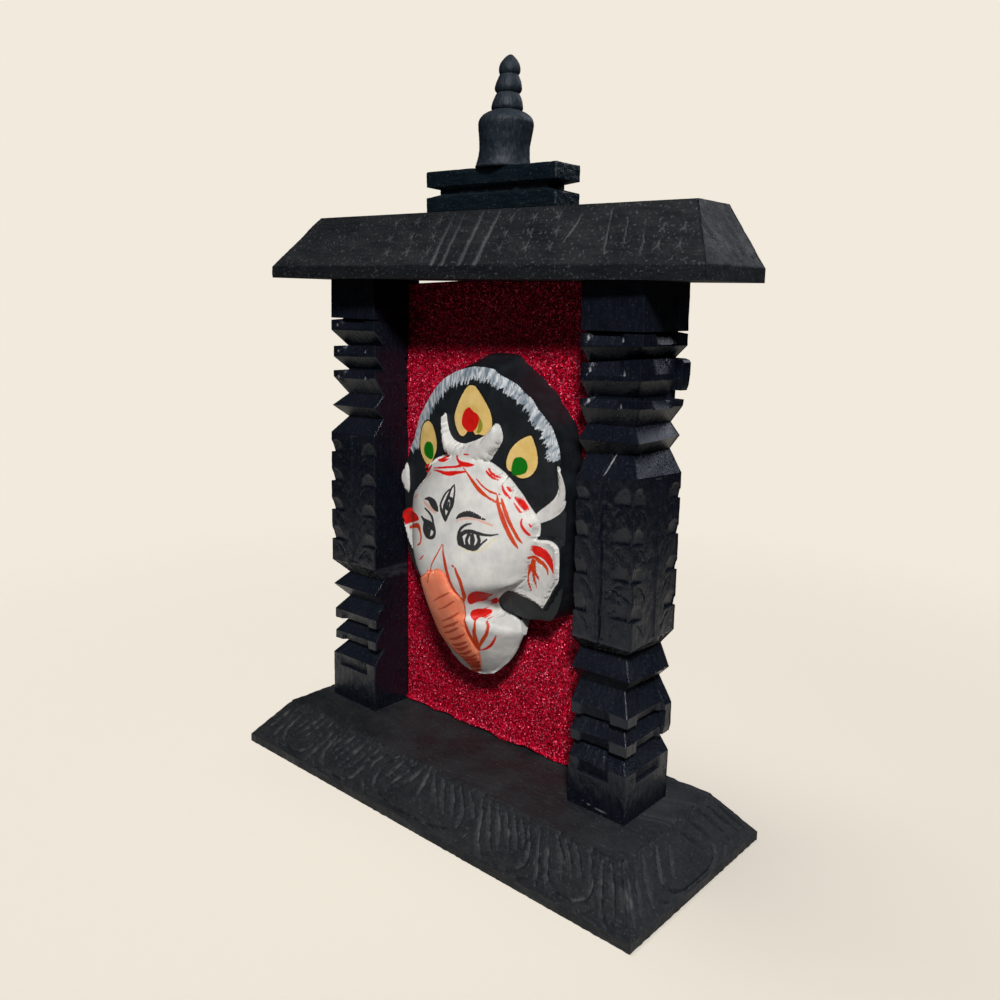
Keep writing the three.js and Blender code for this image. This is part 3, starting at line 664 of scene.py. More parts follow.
# The cloth lies this far behind the posts' front.
CLOTH_BEHIND = 22.3
cut_heights = [h for h, _ in POST_CORNERS + POST_MIDDLE + POST_BACK]
cut_heights += [h for ledge in PETAL_LEDGES for h in (ledge - 0.06, ledge + 0.02)]
post_rows = sorted(set(np.round([*steps(0, POST_HIGH, 0.55), *cut_heights], 3)))
post_rows = [h for h, low in zip(post_rows, [-1, *post_rows]) if h - low > 0.04]
satin_wood = blackened_wood(
    "satin black varnished softwood", "#0a0d17", "#171c28", "#3e444d", (0.7, 0.7, 7),
    (0.22, 0.42), 0.05, 0.35, 0.35,
)
for name, wide in (("pillar_left", LEFT_WIDE), ("pillar_right", RIGHT_WIDE)):
    post_columns = []
    start = 0
    for size, step in ((wide, 0.5), (POST_DEEP, 0.5), (wide, 3), (POST_DEEP, 3)):
        post_columns += (
            [start] + [start + a for a in (0.2, 0.45)] + steps(start + 0.9, start + size - 0.9, step)
        )
        post_columns += [start + size - a for a in (0.45, 0.2)]
        start += size
    post_columns = sorted([*post_columns, start, start - CLOTH_BEHIND - 0.05, start - CLOTH_BEHIND + 0.05])
    post = finished(wrapped(post_columns, post_rows, place_post(wide == LEFT_WIDE)), name + "_post", 30)
    post.data.materials.append(satin_wood)
    at = vertices(post)
    low_slope = eased(at[:, 2], 90.5, 92) * eased(-at[:, 2], -98, -96)
    keep_field(post, "worn", low_slope * np.clip(0.55 + 1.1 * rough(at, 0.5, 17), 0, 1) * 0.8)
    # Pale colour on the pits at the stops is painted glints, and scratches on the slope above the shaft show
    # the pale wood.
    across = np.abs(at[:, 0]) - POST_INNER
    up = at[:, 2] - BASE_HEIGHT
    glints_and_scratches = LEFT_GLINTS if wide == LEFT_WIDE else RIGHT_GLINTS_AND_SCRATCHES
    on_front = at[:, 1] < POST_FRONT + 7.5
    keep_field(post, "bare_wood_and_glint", np.clip(inside_strokes(across, up, glints_and_scratches) / 0.35 + 0.3, 0, 0.75) * on_front)
    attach(post, "root")
    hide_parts(name)

# The roof is a second hipped board, nailed across the pillars a little out of square, its left slope longer.
# Small stars are punched in rows into its front slope and a saw has left pale scrapes down it.
ROOF_SIZE = (236, 48)
ROOF_TOP = (215, 24.5)
ROOF_LEFT_EXTRA = 12.5
ROOF_HIGH = 28.5
ROOF_EDGE = 5.5
ROOF_BOTTOM = BASE_HEIGHT + POST_HIGH
ROOF_TWIST = math.radians(3)
ROOF_SLOPE = math.hypot((ROOF_SIZE[1] - ROOF_TOP[1]) / 2, ROOF_HIGH - ROOF_EDGE)


def star(x, w, turn):
    """A star of five short strokes, each pressed in with the corner of a chisel."""
    points = []
    for i in range(5):
        angle = turn + i * math.tau / 5
        points.append([(x, w, 0.42), (x + 2.4 * math.cos(angle), w + 2.4 * math.sin(angle), 0.16)])
    return points


MARK_DEEP, SCRAPE_DEEP = 0.4, 0.45
ROOF_MARKS = []
for x in (-41, -28, -15.5, 24, 36.5, 49):
    for w in (21, 14, 7.3):
        ROOF_MARKS += star(
            x + 0.6 * math.sin(x * w), w + 0.5 * math.cos(x + w), 1.5 + 0.4 * math.sin(3 * x + w)
        )
for x in (96.5, 105):
    for w in (14.5, 7.5):
        ROOF_MARKS += star(x, w, 1.4 + 0.3 * x)
ROOF_MARKS += [
    [(72, 23, 0.15), (73.5, 12, 0.3), (74.5, 4, 0.15)],
    [(80, 22, 0.1), (81.5, 12, 0.25), (82, 6, 0.1)],
]
ROOF_MARKS += [[(59, 22, 0.15), (57.5, 16, 0.4), (54, 9, 0.15)], [(88, 18, 0.1), (90, 9, 0.25), (90, 3, 0.1)]]
ROOF_SCRAPES = [
    [(-7.5, 25, 0.5), (-9.5, 12, 0.9), (-11, 0, 1.1)],
    [(-1.5, 25, 0.4), (-3.5, 12, 0.8), (-5, 0, 1.1)],
    [(8.5, 25, 0.7), (6.5, 12, 1.1), (4.5, -0.5, 1.3)],
    [(17.5, 25, 0.7), (15, 12, 1.1), (13, -0.5, 1.4)],
]


ROOF_TURN = np.array(
    [[math.cos(ROOF_TWIST), math.sin(ROOF_TWIST)], [-math.sin(ROOF_TWIST), math.cos(ROOF_TWIST)]]
)


def plain_roof(along, up):
    """Places of the roof's sides before they are marked and the board is turned."""
    wide, deep = ROOF_SIZE
    climb = np.clip((up - ROOF_EDGE) / ROOF_SLOPE, 0, 1)
    z = np.where(up < ROOF_EDGE, up, ROOF_EDGE + climb * (ROOF_HIGH - ROOF_EDGE))
    left = -wide / 2 + climb * ((wide - ROOF_TOP[0]) / 2 + ROOF_LEFT_EXTRA)
    right = wide / 2 - climb * (wide - ROOF_TOP[0]) / 2
    half = deep / 2 - climb * (deep - ROOF_TOP[1]) / 2
    side, x, y = four_sides(along, wide, deep)
    return left + (right - left) * x / wide, half * (2 * y / deep - 1), z, side, climb


def place_roof(along, up):
    x, y, z, side, climb = plain_roof(along, up)
    on_front = (side == 0) & (up > ROOF_EDGE)
    marks = np.clip(inside_strokes(x, up - ROOF_EDGE, ROOF_MARKS) / 0.3, 0, 1) * MARK_DEEP
    scrape = np.clip(inside_strokes(x, up - ROOF_EDGE, ROOF_SCRAPES) / 0.8, 0, 1) * SCRAPE_DEEP
    at = np.stack([x, y, z], 1)
    wobble = 0.3 * rough(at * [0.25, 1, 1], 0.25, 21) + 0.12 * rough(at * [0.3, 1, 1], 1.2, 23)
    back = np.clip(wobble + 0.25, 0, 1) + np.where(on_front, np.maximum(marks, scrape), 0)
    flat = (at[:, :2] - OUTWARD[side] * back[:, None]) @ ROOF_TURN
    lean = np.where((up > ROOF_EDGE) & (climb < 0.999), 0.5, 0)
    z = np.where(up <= 0, 0, np.clip(z - back * lean, 0, ROOF_HIGH))
    return np.column_stack([flat, ROOF_BOTTOM + z])


def near_marks(along, up):
    x, _, _, side, _ = plain_roof(along, up)
    return (side == 0) & (inside_strokes(x, up - ROOF_EDGE, ROOF_MARKS) > -0.5)


roof_columns = ring_columns(ROOF_SIZE * 2, (0.75, 0.8, 3, 0.8))
roof_rows = [0, 0.4, 1.2, 2.5, 4, 5, 5.5] + [ROOF_EDGE + w for w in steps(0, ROOF_SLOPE, 0.7)[1:]]
roof = finished(wrapped(roof_columns, roof_rows, place_roof, near_marks), "roof_board", 38)
roof_wood = blackened_wood(
    "weathered black stained softwood", "#0a0c10", "#1d1f23", "#6a6e70", (9, 0.9, 0.9),
    (0.5, 0.72), 0.2, specks=0.4,
)
roof.data.materials.append(roof_wood)
at = vertices(roof)
flat = at[:, :2] @ ROOF_TURN.T
up = (at[:, 2] - ROOF_BOTTOM - ROOF_EDGE) / (ROOF_HIGH - ROOF_EDGE) * ROOF_SLOPE
on_front = (flat[:, 1] < -11) & (up > 0) & (flat[:, 0] > -119)
lower = np.interp(up, [0, 8, 25], [0.75, 0.5, 0.25])
scraped = np.clip(inside_strokes(flat[:, 0], up, ROOF_SCRAPES) / 0.6, 0, 1) * lower
starred = np.clip(inside_strokes(flat[:, 0], up, ROOF_MARKS) / 0.2 + 0.2, 0, 1) * 0.5
keep_field(roof, "worn", np.where(on_front, np.maximum(scraped, starred), 0))
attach(roof, "root")
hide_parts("roof")

# The block on the roof is a short plank with one deep saw groove all round, which makes two tiers of it.
BLOCK_SIZE = (70, 17)
BLOCK_HIGH = 17
BLOCK_AT = (10, -3.75)
BLOCK_PROFILE = [(0, 0), (6, 0), (7.4, 1), (9.4, 1), (10.6, 0), (17, 0)]
BLOCK_GROOVE = (5.5, 3)


def place_block(along, up):
    wide, deep = BLOCK_SIZE
    side, x, y = four_sides(along, wide, deep)
    x, y = x - wide / 2, y - deep / 2
    groove = np.interp(up, *np.array(BLOCK_PROFILE).T)
    at = np.stack([x, y, up], 1)
    edge = np.minimum(np.abs(up - np.array([[0], [6.4], [10.3], [17]])).min(0), 9)
    from_side = np.where((side == 0) | (side == 2), wide / 2 - np.abs(x), deep / 2 - np.abs(y))
    worn = round_off(edge, 0.5) + round_off(from_side, 0.5)
    back = worn + np.clip(0.2 * rough(at * [0.4, 1, 1], 0.5, 31) + 0.12 * rough(at, 1.6, 33) + 0.15, 0, 1)
    chip = np.clip((1.2 - edge) / 1.2, 0, 1) * np.clip(rough(at * [1, 1, 0.3], 0.55, 35) - 0.15, 0, 1) * 1.6
    x = x * (1 - groove * BLOCK_GROOVE[0] / (wide / 2))
    y = y * (1 - groove * BLOCK_GROOVE[1] / (deep / 2))
    flat = np.stack([x, y], 1) - OUTWARD[side] * (back + chip)[:, None] + BLOCK_AT
    return np.column_stack([flat @ ROOF_TURN, ROOF_BOTTOM + ROOF_HIGH + up])


block_columns = ring_columns(BLOCK_SIZE * 2, [0.6] * 4)
block_rows = sorted({*np.round(steps(0, BLOCK_HIGH, 0.5), 3), 0.2, 6, 6.4, 7.4, 9.4, 10.6, 16.8})
block = finished(wrapped(block_columns, block_rows, place_block), "tiered_block", 34)
block_wood = blackened_wood(
    "satin black painted pine", "#050d13", "#0e1e28", "#454c50", (7, 0.8, 0.8), (0.28, 0.5), 0.12
)
block.data.materials.append(block_wood)
keep_field(block, "worn", np.zeros(len(block.data.vertices)))
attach(block, "root")
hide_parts("roof_block")

# The finial is a small stupa turned from one piece: a bell, a shoulder, three caps and a tip. It was finished
# with a knife, which left fine upright facets, and it leans a little.
FINIAL_AT = (11.5, -3.75)
FINIAL_LEAN = 3
FINIAL_BOTTOM = ROOF_BOTTOM + ROOF_HIGH + BLOCK_HIGH
FINIAL_PROFILE = [
    (11.7, 0), (11.9, 0.5), (11.5, 1.3), (10.9, 4), (10.55, 8), (10.95, 12), (11.5, 16), (11.5, 18.2),
    (10.4, 20.2), (8.2, 21.8), (6.2, 22.6), (6.5, 23.2), (6.6, 24.2), (6.1, 26.5), (5.2, 28.6),
    (4.75, 29.5), (5.35, 30.2), (5.7, 31.6), (5.2, 33.8), (4.3, 35.8), (3.95, 36.7), (4.4, 37.5),
    (4.5, 38.9), (4.0, 40.8), (2.6, 42.8), (1.0, 44.2), (0.05, 44.5),
]  # fmt: skip
bm = bmesh.new()
outline = smooth_line(FINIAL_PROFILE, 7)
points = [bm.verts.new((r, 0, z)) for r, z in outline]
edges = [bm.edges.new(pair) for pair in zip(points, points[1:])]
bmesh.ops.spin(
    bm, geom=points + edges, cent=(0, 0, 0), axis=(0, 0, 1), angle=math.tau, steps=112, use_merge=True
)
bmesh.ops.holes_fill(bm, edges=[e for e in bm.edges if e.is_boundary], sides=0)
for v in bm.verts:
    turn = math.atan2(v.co.y, v.co.x)
    radius = v.co.xy.length
    if radius > 0.2:
        # Knife facets, about 26 round the bell, that wander with height.
        wander = 0.5 * noise.noise(Vector((0, 0, v.co.z * 0.2)))
        facet = abs(math.sin(13 * (turn + wander)))
        nick = noise.noise(Vector((v.co.x * 0.7, v.co.y * 0.7, v.co.z * 0.35)))
        fine = noise.noise(Vector((turn * 11, radius, v.co.z * 0.6)))
        cut = 0.012 * radius * facet + 0.16 * max(0, nick + 0.3) + 0.10 * max(0, fine)
        v.co.xy *= (radius - cut) / radius
    x = v.co.x + FINIAL_AT[0] + FINIAL_LEAN * v.co.z / FINIAL_PROFILE[-1][1]
    y = v.co.y + FINIAL_AT[1]
    v.co = (
        (x * math.cos(ROOF_TWIST) - y * math.sin(ROOF_TWIST)) / 1000,
        (x * math.sin(ROOF_TWIST) + y * math.cos(ROOF_TWIST)) / 1000,
        (v.co.z + FINIAL_BOTTOM) / 1000,
    )
bmesh.ops.recalc_face_normals(bm, faces=bm.faces)
finial = finished(bm, "turned_stupa", 45)
stupa_wood = blackened_wood(
    "charcoal black turned softwood", "#0d151b", "#232f39", "#55606a", (0.6, 0.6, 6), (0.38, 0.6), 0.22
)
finial.data.materials.append(stupa_wood)
keep_field(finial, "worn", np.zeros(len(finial.data.vertices)))
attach(finial, "root")
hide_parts("stupa_finial")

# The board behind the cloth is thin plywood, stained dark and fixed between the pillars. Its CAD shape is
# right.
plywood = blackened_wood(
    "dark stained plywood", "#1b1512", "#33271f", "#4a3f36", (1.1, 1.1, 14), (0.5, 0.7), 0.2
)
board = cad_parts["back_board"]
board.data.materials.clear()
board.data.materials.append(plywood)

# The cloth is crimson velvet with glitter, flakes of red foil held in its pile, glued flat to the board. Its
# lower edge is cut by hand.
CLOTH_WIDE, CLOTH_LONG = 124.5, 216
# Its top edge slants down to the left.
SLANT_WIDE, SLANT_DROP = 42, 1.8
CLOTH_FRONT = 9
CLOTH_THICK = 0.8
bm = bmesh.new()
# Squares of 0.75 mm.
bmesh.ops.create_grid(bm, x_segments=166, y_segments=284, size=0.5)
for v in bm.verts:
    x = v.co.x * CLOTH_WIDE
    drop = SLANT_DROP * max(0, 1 - (x + CLOTH_WIDE / 2) / SLANT_WIDE)
    z = BASE_HEIGHT + (v.co.y + 0.5) * (CLOTH_LONG - drop)
    lump = noise.noise(Vector((x * 0.05, z * 0.04, 2)))
    grain = noise.noise(Vector((x * 0.9, z * 0.9, 5)))
    # The lower edge is cut in waves, frays and curls forward.
    above = z - BASE_HEIGHT
    wave = max(0, 1 - above / 8) * (0.9 + 1.3 * noise.noise(Vector((x * 0.07, 4, 1))))
    frayed = max(0, 1 - above / 1.5) * (0.5 + 0.5 * noise.noise(Vector((x * 0.5, 1, 1)))) * 0.7
    curl = 1.6 * max(0, 1 - above / 3.5) ** 2 * (0.8 + 0.9 * noise.noise(Vector((x * 0.11, 7, 3))))
    y = CLOTH_FRONT + 0.12 + 0.1 * lump + 0.05 * grain - max(curl, 0)
    v.co = (x / 1000, y / 1000, (z + max(wave, 0) + frayed) / 1000)
bmesh.ops.recalc_face_normals(bm, faces=bm.faces)
for face in bm.faces:
    if face.normal.y > 0:
        face.normal_flip()
cloth = finished(bm, "glitter_cloth", 60)
solid = cloth.modifiers.new("thickness", "SOLIDIFY")
solid.thickness = CLOTH_THICK / 1000
solid.offset = -1
# The cloth tints hardly anything in the photo, so light bounced off it is left out.
cloth.visible_diffuse = False
glitter, tree, shader = new_material("crimson glitter fabric")
# Foil flakes about 0.55 mm across lie at all angles, each with its own red from deep to bright. The palest
# flakes also get a pale pink painted glint in their colour.
place = add(tree, "TexCoord")
flakes = add(tree, "TexVoronoi", {"Scale": 1000 / 0.55}, {"Vector": place.outputs["Object"]})
tone = add(tree, "SeparateColor", links={0: flakes.outputs["Color"]})
deep = add(tree, "MapRange", {"From Min": 0.0, "From Max": 1.0}, {"Value": tone})
body = add(tree, "Mix", {6: linear("#820014"), 7: linear("#de0c38")}, {0: deep}, data_type="RGBA")
# Painted glint: the palest flakes are turned pale pink.
lit = add(tree, "MapRange", {"From Min": 0.80, "From Max": 0.97}, {"Value": tone.outputs[1]})
painted_sparkle = add(tree, "Mix", {7: linear("#ff7090")}, {0: lit, 6: body.outputs[2]}, data_type="RGBA")
shader.inputs["Metallic"].default_value = 0.2
shader.inputs["Roughness"].default_value = 0.42
shader.inputs["Specular IOR Level"].default_value = 0.12
tilt = add(tree, "VectorMath", {1: (0.5, 0.5, 0.5)}, {0: flakes.outputs["Color"]}, operation="SUBTRACT")
tilted = add(tree, "VectorMath", {3: 1.1}, {0: tilt}, operation="SCALE")
geometry = add(tree, "NewGeometry")
leaning = add(tree, "VectorMath", links={0: tilted, 1: geometry.outputs["Normal"]}, operation="ADD")
normal = add(tree, "VectorMath", links={0: leaning}, operation="NORMALIZE")
feed(shader, {"Base Color": painted_sparkle.outputs[2], "Normal": normal})
cloth.data.materials.append(glitter)
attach(cloth, "root")
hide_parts("red_cloth")

# The mask is a papier-mache shell, primed white and painted by hand: a black hood with a white hair fringe
# and three flames, a white face with red and orange lines, black eyes and a salmon trunk. It is glued to the
# cloth.
HOOD_AT = (0, 128)
HOOD_OUTLINE = [
    (0, 202.3), (11, 202), (16, 199.5), (25, 196.2), (29, 193.2), (34.3, 190), (36, 187.1), (39.3, 184),
    (42.4, 181), (44.9, 177.9), (46, 174.6), (47.5, 170), (48.3, 165), (49, 161), (50.4, 158), (51.6, 155),
    (52.2, 152), (52, 148), (51.8, 135), (51.3, 122), (50.8, 110), (50, 104), (48, 98.5), (44, 94),
    (38, 93), (33, 91.8), (24, 91.5), (0, 91.5), (-17, 92), (-33, 93.5), (-39.6, 97.7), (-43.1, 101),
    (-45.3, 104.5), (-48, 110), (-49, 122), (-50, 135), (-49.3, 147), (-47.5, 155), (-45.6, 160.3),
    (-43.3, 164.4), (-41.7, 168.4), (-39.9, 172.5), (-38.1, 176.5), (-34.9, 180.6), (-31.8, 184.6),
    (-28, 188.7), (-23.7, 192.7), (-18.2, 196.5), (-12, 199.4), (-6, 201.1),
]  # fmt: skip
FACE_RIGHT = [
    (0, 163), (12, 161), (21.5, 156.8), (28.3, 151.2), (34.8, 144), (39.2, 138), (39, 131), (37.5, 122),
    (33, 111), (21.3, 104), (16, 98.5), (17, 93.5), (25, 91), (30.1, 87.4), (29.3, 83.2), (26.8, 78.4),
    (24.3, 73.7), (21, 69.2), (15.5, 64), (10, 60), (0, 57.8),
]  # fmt: skip
FACE_LEFT = [
    (0, 163), (-11, 161.3), (-20, 158.5), (-24.5, 155.5), (-26, 150.5), (-32, 144.5), (-36, 139),
    (-36.5, 131), (-35, 122), (-31, 112), (-26.5, 104), (-24.5, 98), (-24.5, 92), (-24.5, 86.5),
    (-24.5, 79), (-22.5, 71), (-17.5, 64), (-10, 59.5), (0, 57.8),
]  # fmt: skip
FACE_PROFILE = [
    (57.8, 1.5), (61, 5), (66, 9), (73, 13.5), (80, 17.5), (88, 21.5), (96, 25), (104, 27.5), (112, 29.2),
    (118, 29.5), (124.5, 28), (130, 26.5), (136, 24.6), (143, 22.5), (151, 19), (157, 16), (163, 13.6),
]  # fmt: skip
FACE_EDGE = [(57.8, 1.5), (80, 2.5), (90, 5), (100, 8), (130, 10), (150, 11.5), (163, 13.4)]
CRESCENT = [
    (-15.6, 162.5), (-16.2, 164.7), (-17.3, 169), (-18.2, 173.5), (-18.3, 177), (-17.2, 179.4),
    (-16, 178.8), (-15, 175.6), (-13.6, 172), (-11.2, 169), (-7.6, 167.4), (-3.3, 167.1), (0.6, 168.2),
    (5, 169.9), (8.4, 171.7), (11, 173.8), (13.2, 176.2), (15, 177.9), (17.1, 177.2), (18.6, 174.3),
    (18.9, 171.4), (17.8, 169), (16.2, 166.4), (14.5, 164.3), (12.5, 161.6), (3, 159), (-8, 159.5),
]  # fmt: skip
EAR_RIGHT = [
    (34, 131), (40, 131.2), (44, 131.4), (47, 131), (49.6, 129), (50.2, 125), (50.3, 118.5), (50, 114.5),
    (47.5, 110.6), (45.4, 106.6), (43, 102.6), (41.5, 100.6), (39.6, 101.4), (37.8, 102.1), (32.1, 103.5),
    (26.2, 104.9), (21, 107), (24, 118),
]  # fmt: skip
EAR_LEFT = [
    (-34, 131), (-40, 131), (-44, 130.5), (-46.5, 128), (-46.5, 125.4), (-45.6, 121.6), (-44.2, 117.9),
    (-42.6, 114.2), (-39.9, 110.7), (-37.8, 107.2), (-34.3, 103.9), (-30.8, 100.7), (-28.5, 103),
    (-24, 108), (-24, 118),
]  # fmt: skip
RIBBON_RIGHT = [
    (46, 163), (48.8, 161.8), (50.6, 158.4), (51.8, 155.2), (52.3, 151.9), (51.8, 148.2), (49.6, 144.2),
    (45.5, 140.6), (41, 138.2), (38.4, 137.6), (37.1, 140.6), (38.7, 143.1), (41.9, 145.8), (45.4, 149.3),
    (46.9, 153.2), (46.6, 157.3),
]  # fmt: skip
RIBBON_LEFT = [
    (-46.3, 152.5), (-48.6, 150), (-50.2, 146.5), (-50, 142.5), (-47.8, 139), (-45.2, 137.6),
    (-43.6, 139.4), (-43.4, 143), (-44, 147.5), (-45, 151),
]  # fmt: skip
MASK_AT = np.array([0, 118])
TRUNK_RISE = 1.5
NECK_RISE = 6.5


def closed_line(points, steps=6):
    """A closed smooth curve through the points."""
    points = np.array(points, float)
    line = smooth_line(np.vstack([points[-2:], points, points[:2]]), steps)
    return line[2 * steps : (len(points) + 2) * steps]


def mirrored(points):
    return [(-x, z) for x, z in reversed(points)]


def inside_area(x, z, outline, reach=1.5):
    """How far inside a closed outline each place is, negative outside."""
    line = closed_line(outline)
    found = np.full(len(x), -reach)
    near, at = near_line(x, z, line, reach)
    far = np.full(len(near), 1e9)
    within = np.zeros(len(near), bool)
    for a, b in zip(line, np.roll(line, -1, 0)):
        far = np.minimum(far, off_segment(at, a, b)[1])
        crosses = (a[1] > at[:, 1]) != (b[1] > at[:, 1])
        edge_x = a[0] + (at[:, 1] - a[1]) / (b[1] - a[1] + 1e-12) * (b[0] - a[0])
        within ^= crosses & (at[:, 0] < edge_x)
    found[near] = np.maximum(np.where(within, far, -far), -reach)
    return found


def reach_at(angle, outline, centre):
    """How far an outline is from a centre, in each direction."""
    line = closed_line(outline, 12) - centre
    turn = np.arctan2(line[:, 1], line[:, 0])
    order = np.argsort(turn)
    turn = turn[order]
    out = np.hypot(line[:, 0], line[:, 1])[order]
    return np.interp(angle, np.concatenate([turn - math.tau, turn, turn + math.tau]), np.tile(out, 3))


def crowned(inside, width, rise):
    """A rounded rise from an outline inwards."""
    return rise * np.sqrt(np.clip(1 - (1 - np.clip(inside / width, 0, 1)) ** 2, 0, 1))


face_line = FACE_RIGHT + FACE_LEFT[-2:0:-1]
EARS = (EAR_RIGHT, EAR_LEFT)
RIBBONS = (RIBBON_RIGHT, RIBBON_LEFT)


def read_off(places, table):
    """Values of a table at some places, by a smooth curve through its rows."""
    line = smooth_line(sorted(table))
    return np.interp(places, line[:, 0], line[:, 1])


def mask_forward(x, z):
    """How far the mask stands forward of y = 0."""
    ring = np.hypot(x - HOOD_AT[0], z - HOOD_AT[1])
    ring = ring / reach_at(np.arctan2(z - HOOD_AT[1], x - HOOD_AT[0]), HOOD_OUTLINE, HOOD_AT)
    rim = 4 + 3 * eased(z, 160, 203)
    hood_in = inside_area(x, z, HOOD_OUTLINE, 6)
    hood = rim + 8 * (1 - np.clip(ring, 0, 1) ** 2) - round_off(np.clip(hood_in, 0, 9), 1.6)
    right, left = (read_off(z, [(z, abs(x)) for x, z in side]) for side in (FACE_RIGHT, FACE_LEFT))
    half = np.maximum(np.where(x > 0, right, left), 1)
    fullness = np.interp(z, [57.8, 110, 150], [3, 3, 2.2])
    # The right cheek has a higher edge above the neck.
    edge = read_off(z, FACE_EDGE) + NECK_RISE * eased(z, 89, 97) * eased(-z, -116, -104) * eased(x, 0, 9)
    across = np.minimum(np.abs(x) / half, 1)
    face_in = inside_area(x, z, face_line, 6)
    face = edge + (read_off(z, FACE_PROFILE) - edge) * (1 - across**fullness)
    # The trunk lies on the face as a low rounded ridge.
    face = face + crowned(inside_area(x, z, TRUNK, 6), 5, TRUNK_RISE)
    # The face's edge is rounded, but runs straight on into the ears.
    beside_ear = eased(z, 101, 105) * eased(-z, -132, -129)
    crescent_in = inside_area(x, z, CRESCENT, 4)
    joined = np.maximum(beside_ear, eased(crescent_in, -1.5, 1))
    face = face - round_off(np.clip(face_in, 0, 9), 1.8) * (1 - joined)
    forward = np.where(hood_in > -0.01, hood, edge - 2)
    for points in EARS:
        ear_in = inside_area(x, z, points, 3)
        ear = 8.4 - round_off(np.clip(ear_in, 0, 9), 0.9) - 0.5 * eased(ear_in, 1.2, 2.9)
        ear = ear + 1.8 * np.clip(1 + face_in / 4, 0, 1)
        forward = forward + (np.maximum(ear, forward) - forward) * eased(ear_in, -0.35, 0.1)
    forward = forward + (np.maximum(face, forward) - forward) * eased(face_in, -0.1, 0.45)
    for points in RIBBONS:
        forward = np.maximum(forward, rim + crowned(inside_area(x, z, points, 3) + 0.3, 1.7, 2.1))
    return np.maximum(forward, hood + crowned(crescent_in, 3.2, 3.8) * (crescent_in > 0))


# The hood's fringe: short hairs of white paint drawn in from the rim.
FRINGE_WIDE = 6.2
FRINGE_ENDS = (159, 164)

FLAME = [
    (0, 193), (2, 192.6), (5.5, 189.6), (9.2, 185.6), (11.8, 181.5), (12.7, 177.5), (12.2, 174.8),
    (10.3, 173), (8, 172), (5.5, 172.2), (3.3, 171.8), (1.5, 173.4), (-1.2, 173.2), (-2.2, 171.8),
    (-4.2, 170.3), (-6.8, 171), (-9, 174), (-10.3, 178), (-9.3, 182), (-7, 187), (-4, 191.3), (-2, 192.8),
]  # fmt: skip
SIDE_FLAME = [
    (33.2, 174.3), (35, 171.5), (36.4, 168), (37, 163.5), (36, 160), (33.6, 157.2), (30.2, 156),
    (27.4, 156.4), (26.2, 157.8), (24.4, 158.2), (22.7, 158.6), (21.5, 160.8), (21.8, 164), (23.5, 167.8),
    (26.5, 171), (30, 173.2),
]  # fmt: skip
LEFT_FLAME = [
    (-30, 174.2), (-33, 172.8), (-35, 170), (-36, 166), (-36, 162), (-34.6, 158.6), (-32, 156), (-29, 154),
    (-26.6, 153.4), (-25.4, 154.8), (-24, 158), (-22.6, 161), (-22.4, 164.6), (-23.6, 168.4),
    (-25.6, 171.8), (-27.6, 173.6),
]  # fmt: skip
JEWEL = [
    (-1, 183.4), (1.5, 181.8), (4.2, 180.8), (5.2, 178.8), (4.5, 176), (3, 173.8), (0.5, 172.7),
    (-1.7, 172.8), (-3.6, 173.8), (-5.2, 175.2), (-5.4, 178), (-4.4, 181), (-2.8, 182.7),
]  # fmt: skip
JEWEL_LEAF = [
    (4.6, 180), (6.4, 178.6), (7.4, 176.4), (7, 174), (5.8, 172.8), (4, 172.8), (4.6, 174.6), (4.9, 177),
]  # fmt: skip
GREEN_DOT = [
    (24.8, 162.4), (26, 164.2), (28.5, 164.8), (31, 164), (32.4, 161.5), (31.8, 158.8), (29.5, 157.4),
    (27, 156.8), (25.4, 157), (24.3, 158.8),
]  # fmt: skip
TRUNK = [
    (-3.4, 113), (0.1, 114.6), (3.4, 114.1), (5, 112.8), (5.7, 110.9), (6.5, 108.5), (8.1, 106.1),
    (9.8, 104), (10.5, 101.1), (9.8, 96.4), (9.5, 92), (9.4, 87.5), (9.5, 83.3), (9.8, 79.8), (10.2, 75.8),
    (10.8, 74.3), (9.6, 70.8), (7.8, 67), (3.8, 61.8), (-0.8, 58.9), (-3.7, 59), (-2.9, 62.6),
    (-4.3, 65.8), (-7.2, 68.2), (-9.8, 71.1), (-12.6, 73.8), (-15.2, 77.3), (-15.9, 82), (-16.5, 86.1),
    (-17.3, 90.6), (-17.8, 94.5), (-17.9, 99), (-17, 103.3), (-15.7, 106.4), (-7.6, 110.9), (-7.3, 112.3),
]  # fmt: skip
# The lip and the tusk's end are laid out on a plane this far forward, as seen along the brush from the right.
BRUSHED_AT = 15
BRUSH_SLOPE = (0.93, 0.47)
LIP = [
    (4.8, 97.2), (5.3, 100), (9, 102.5), (14.4, 103.5), (20.3, 103.7), (22.8, 102.8), (23.6, 101.6),
    (21.9, 100.4), (16.7, 100), (10.6, 98.2), (6.8, 96.2),
]  # fmt: skip
TUSK_CAP = [
    (6.5, 91.2), (7.6, 93.6), (11.4, 95.4), (16, 96.1), (19.5, 94.6), (20.1, 92.3), (17.6, 91.9),
    (13, 91.9), (8.9, 89.2),
]  # fmt: skip
EAR_RED = [
    (37.6, 127.4), (37.8, 128.2), (40.1, 128.5), (42.1, 127.6), (44.6, 126.1), (46.4, 124.3),
    (47.6, 121.7), (47.8, 117.4), (46, 119.3), (44.4, 121), (42.5, 122.5), (41, 123.5), (39.7, 123.9),
    (37.9, 125.1), (37.4, 126.4),
]  # fmt: skip
LEFT_EAR_RED = [
    (-47, 128), (-44.5, 130), (-40.8, 131.3), (-26, 133.5), (-20.5, 133.1), (-19.8, 131.3), (-39.9, 124.4),
    (-43.6, 122.8), (-45, 123.6), (-47.3, 125.2),
]  # fmt: skip

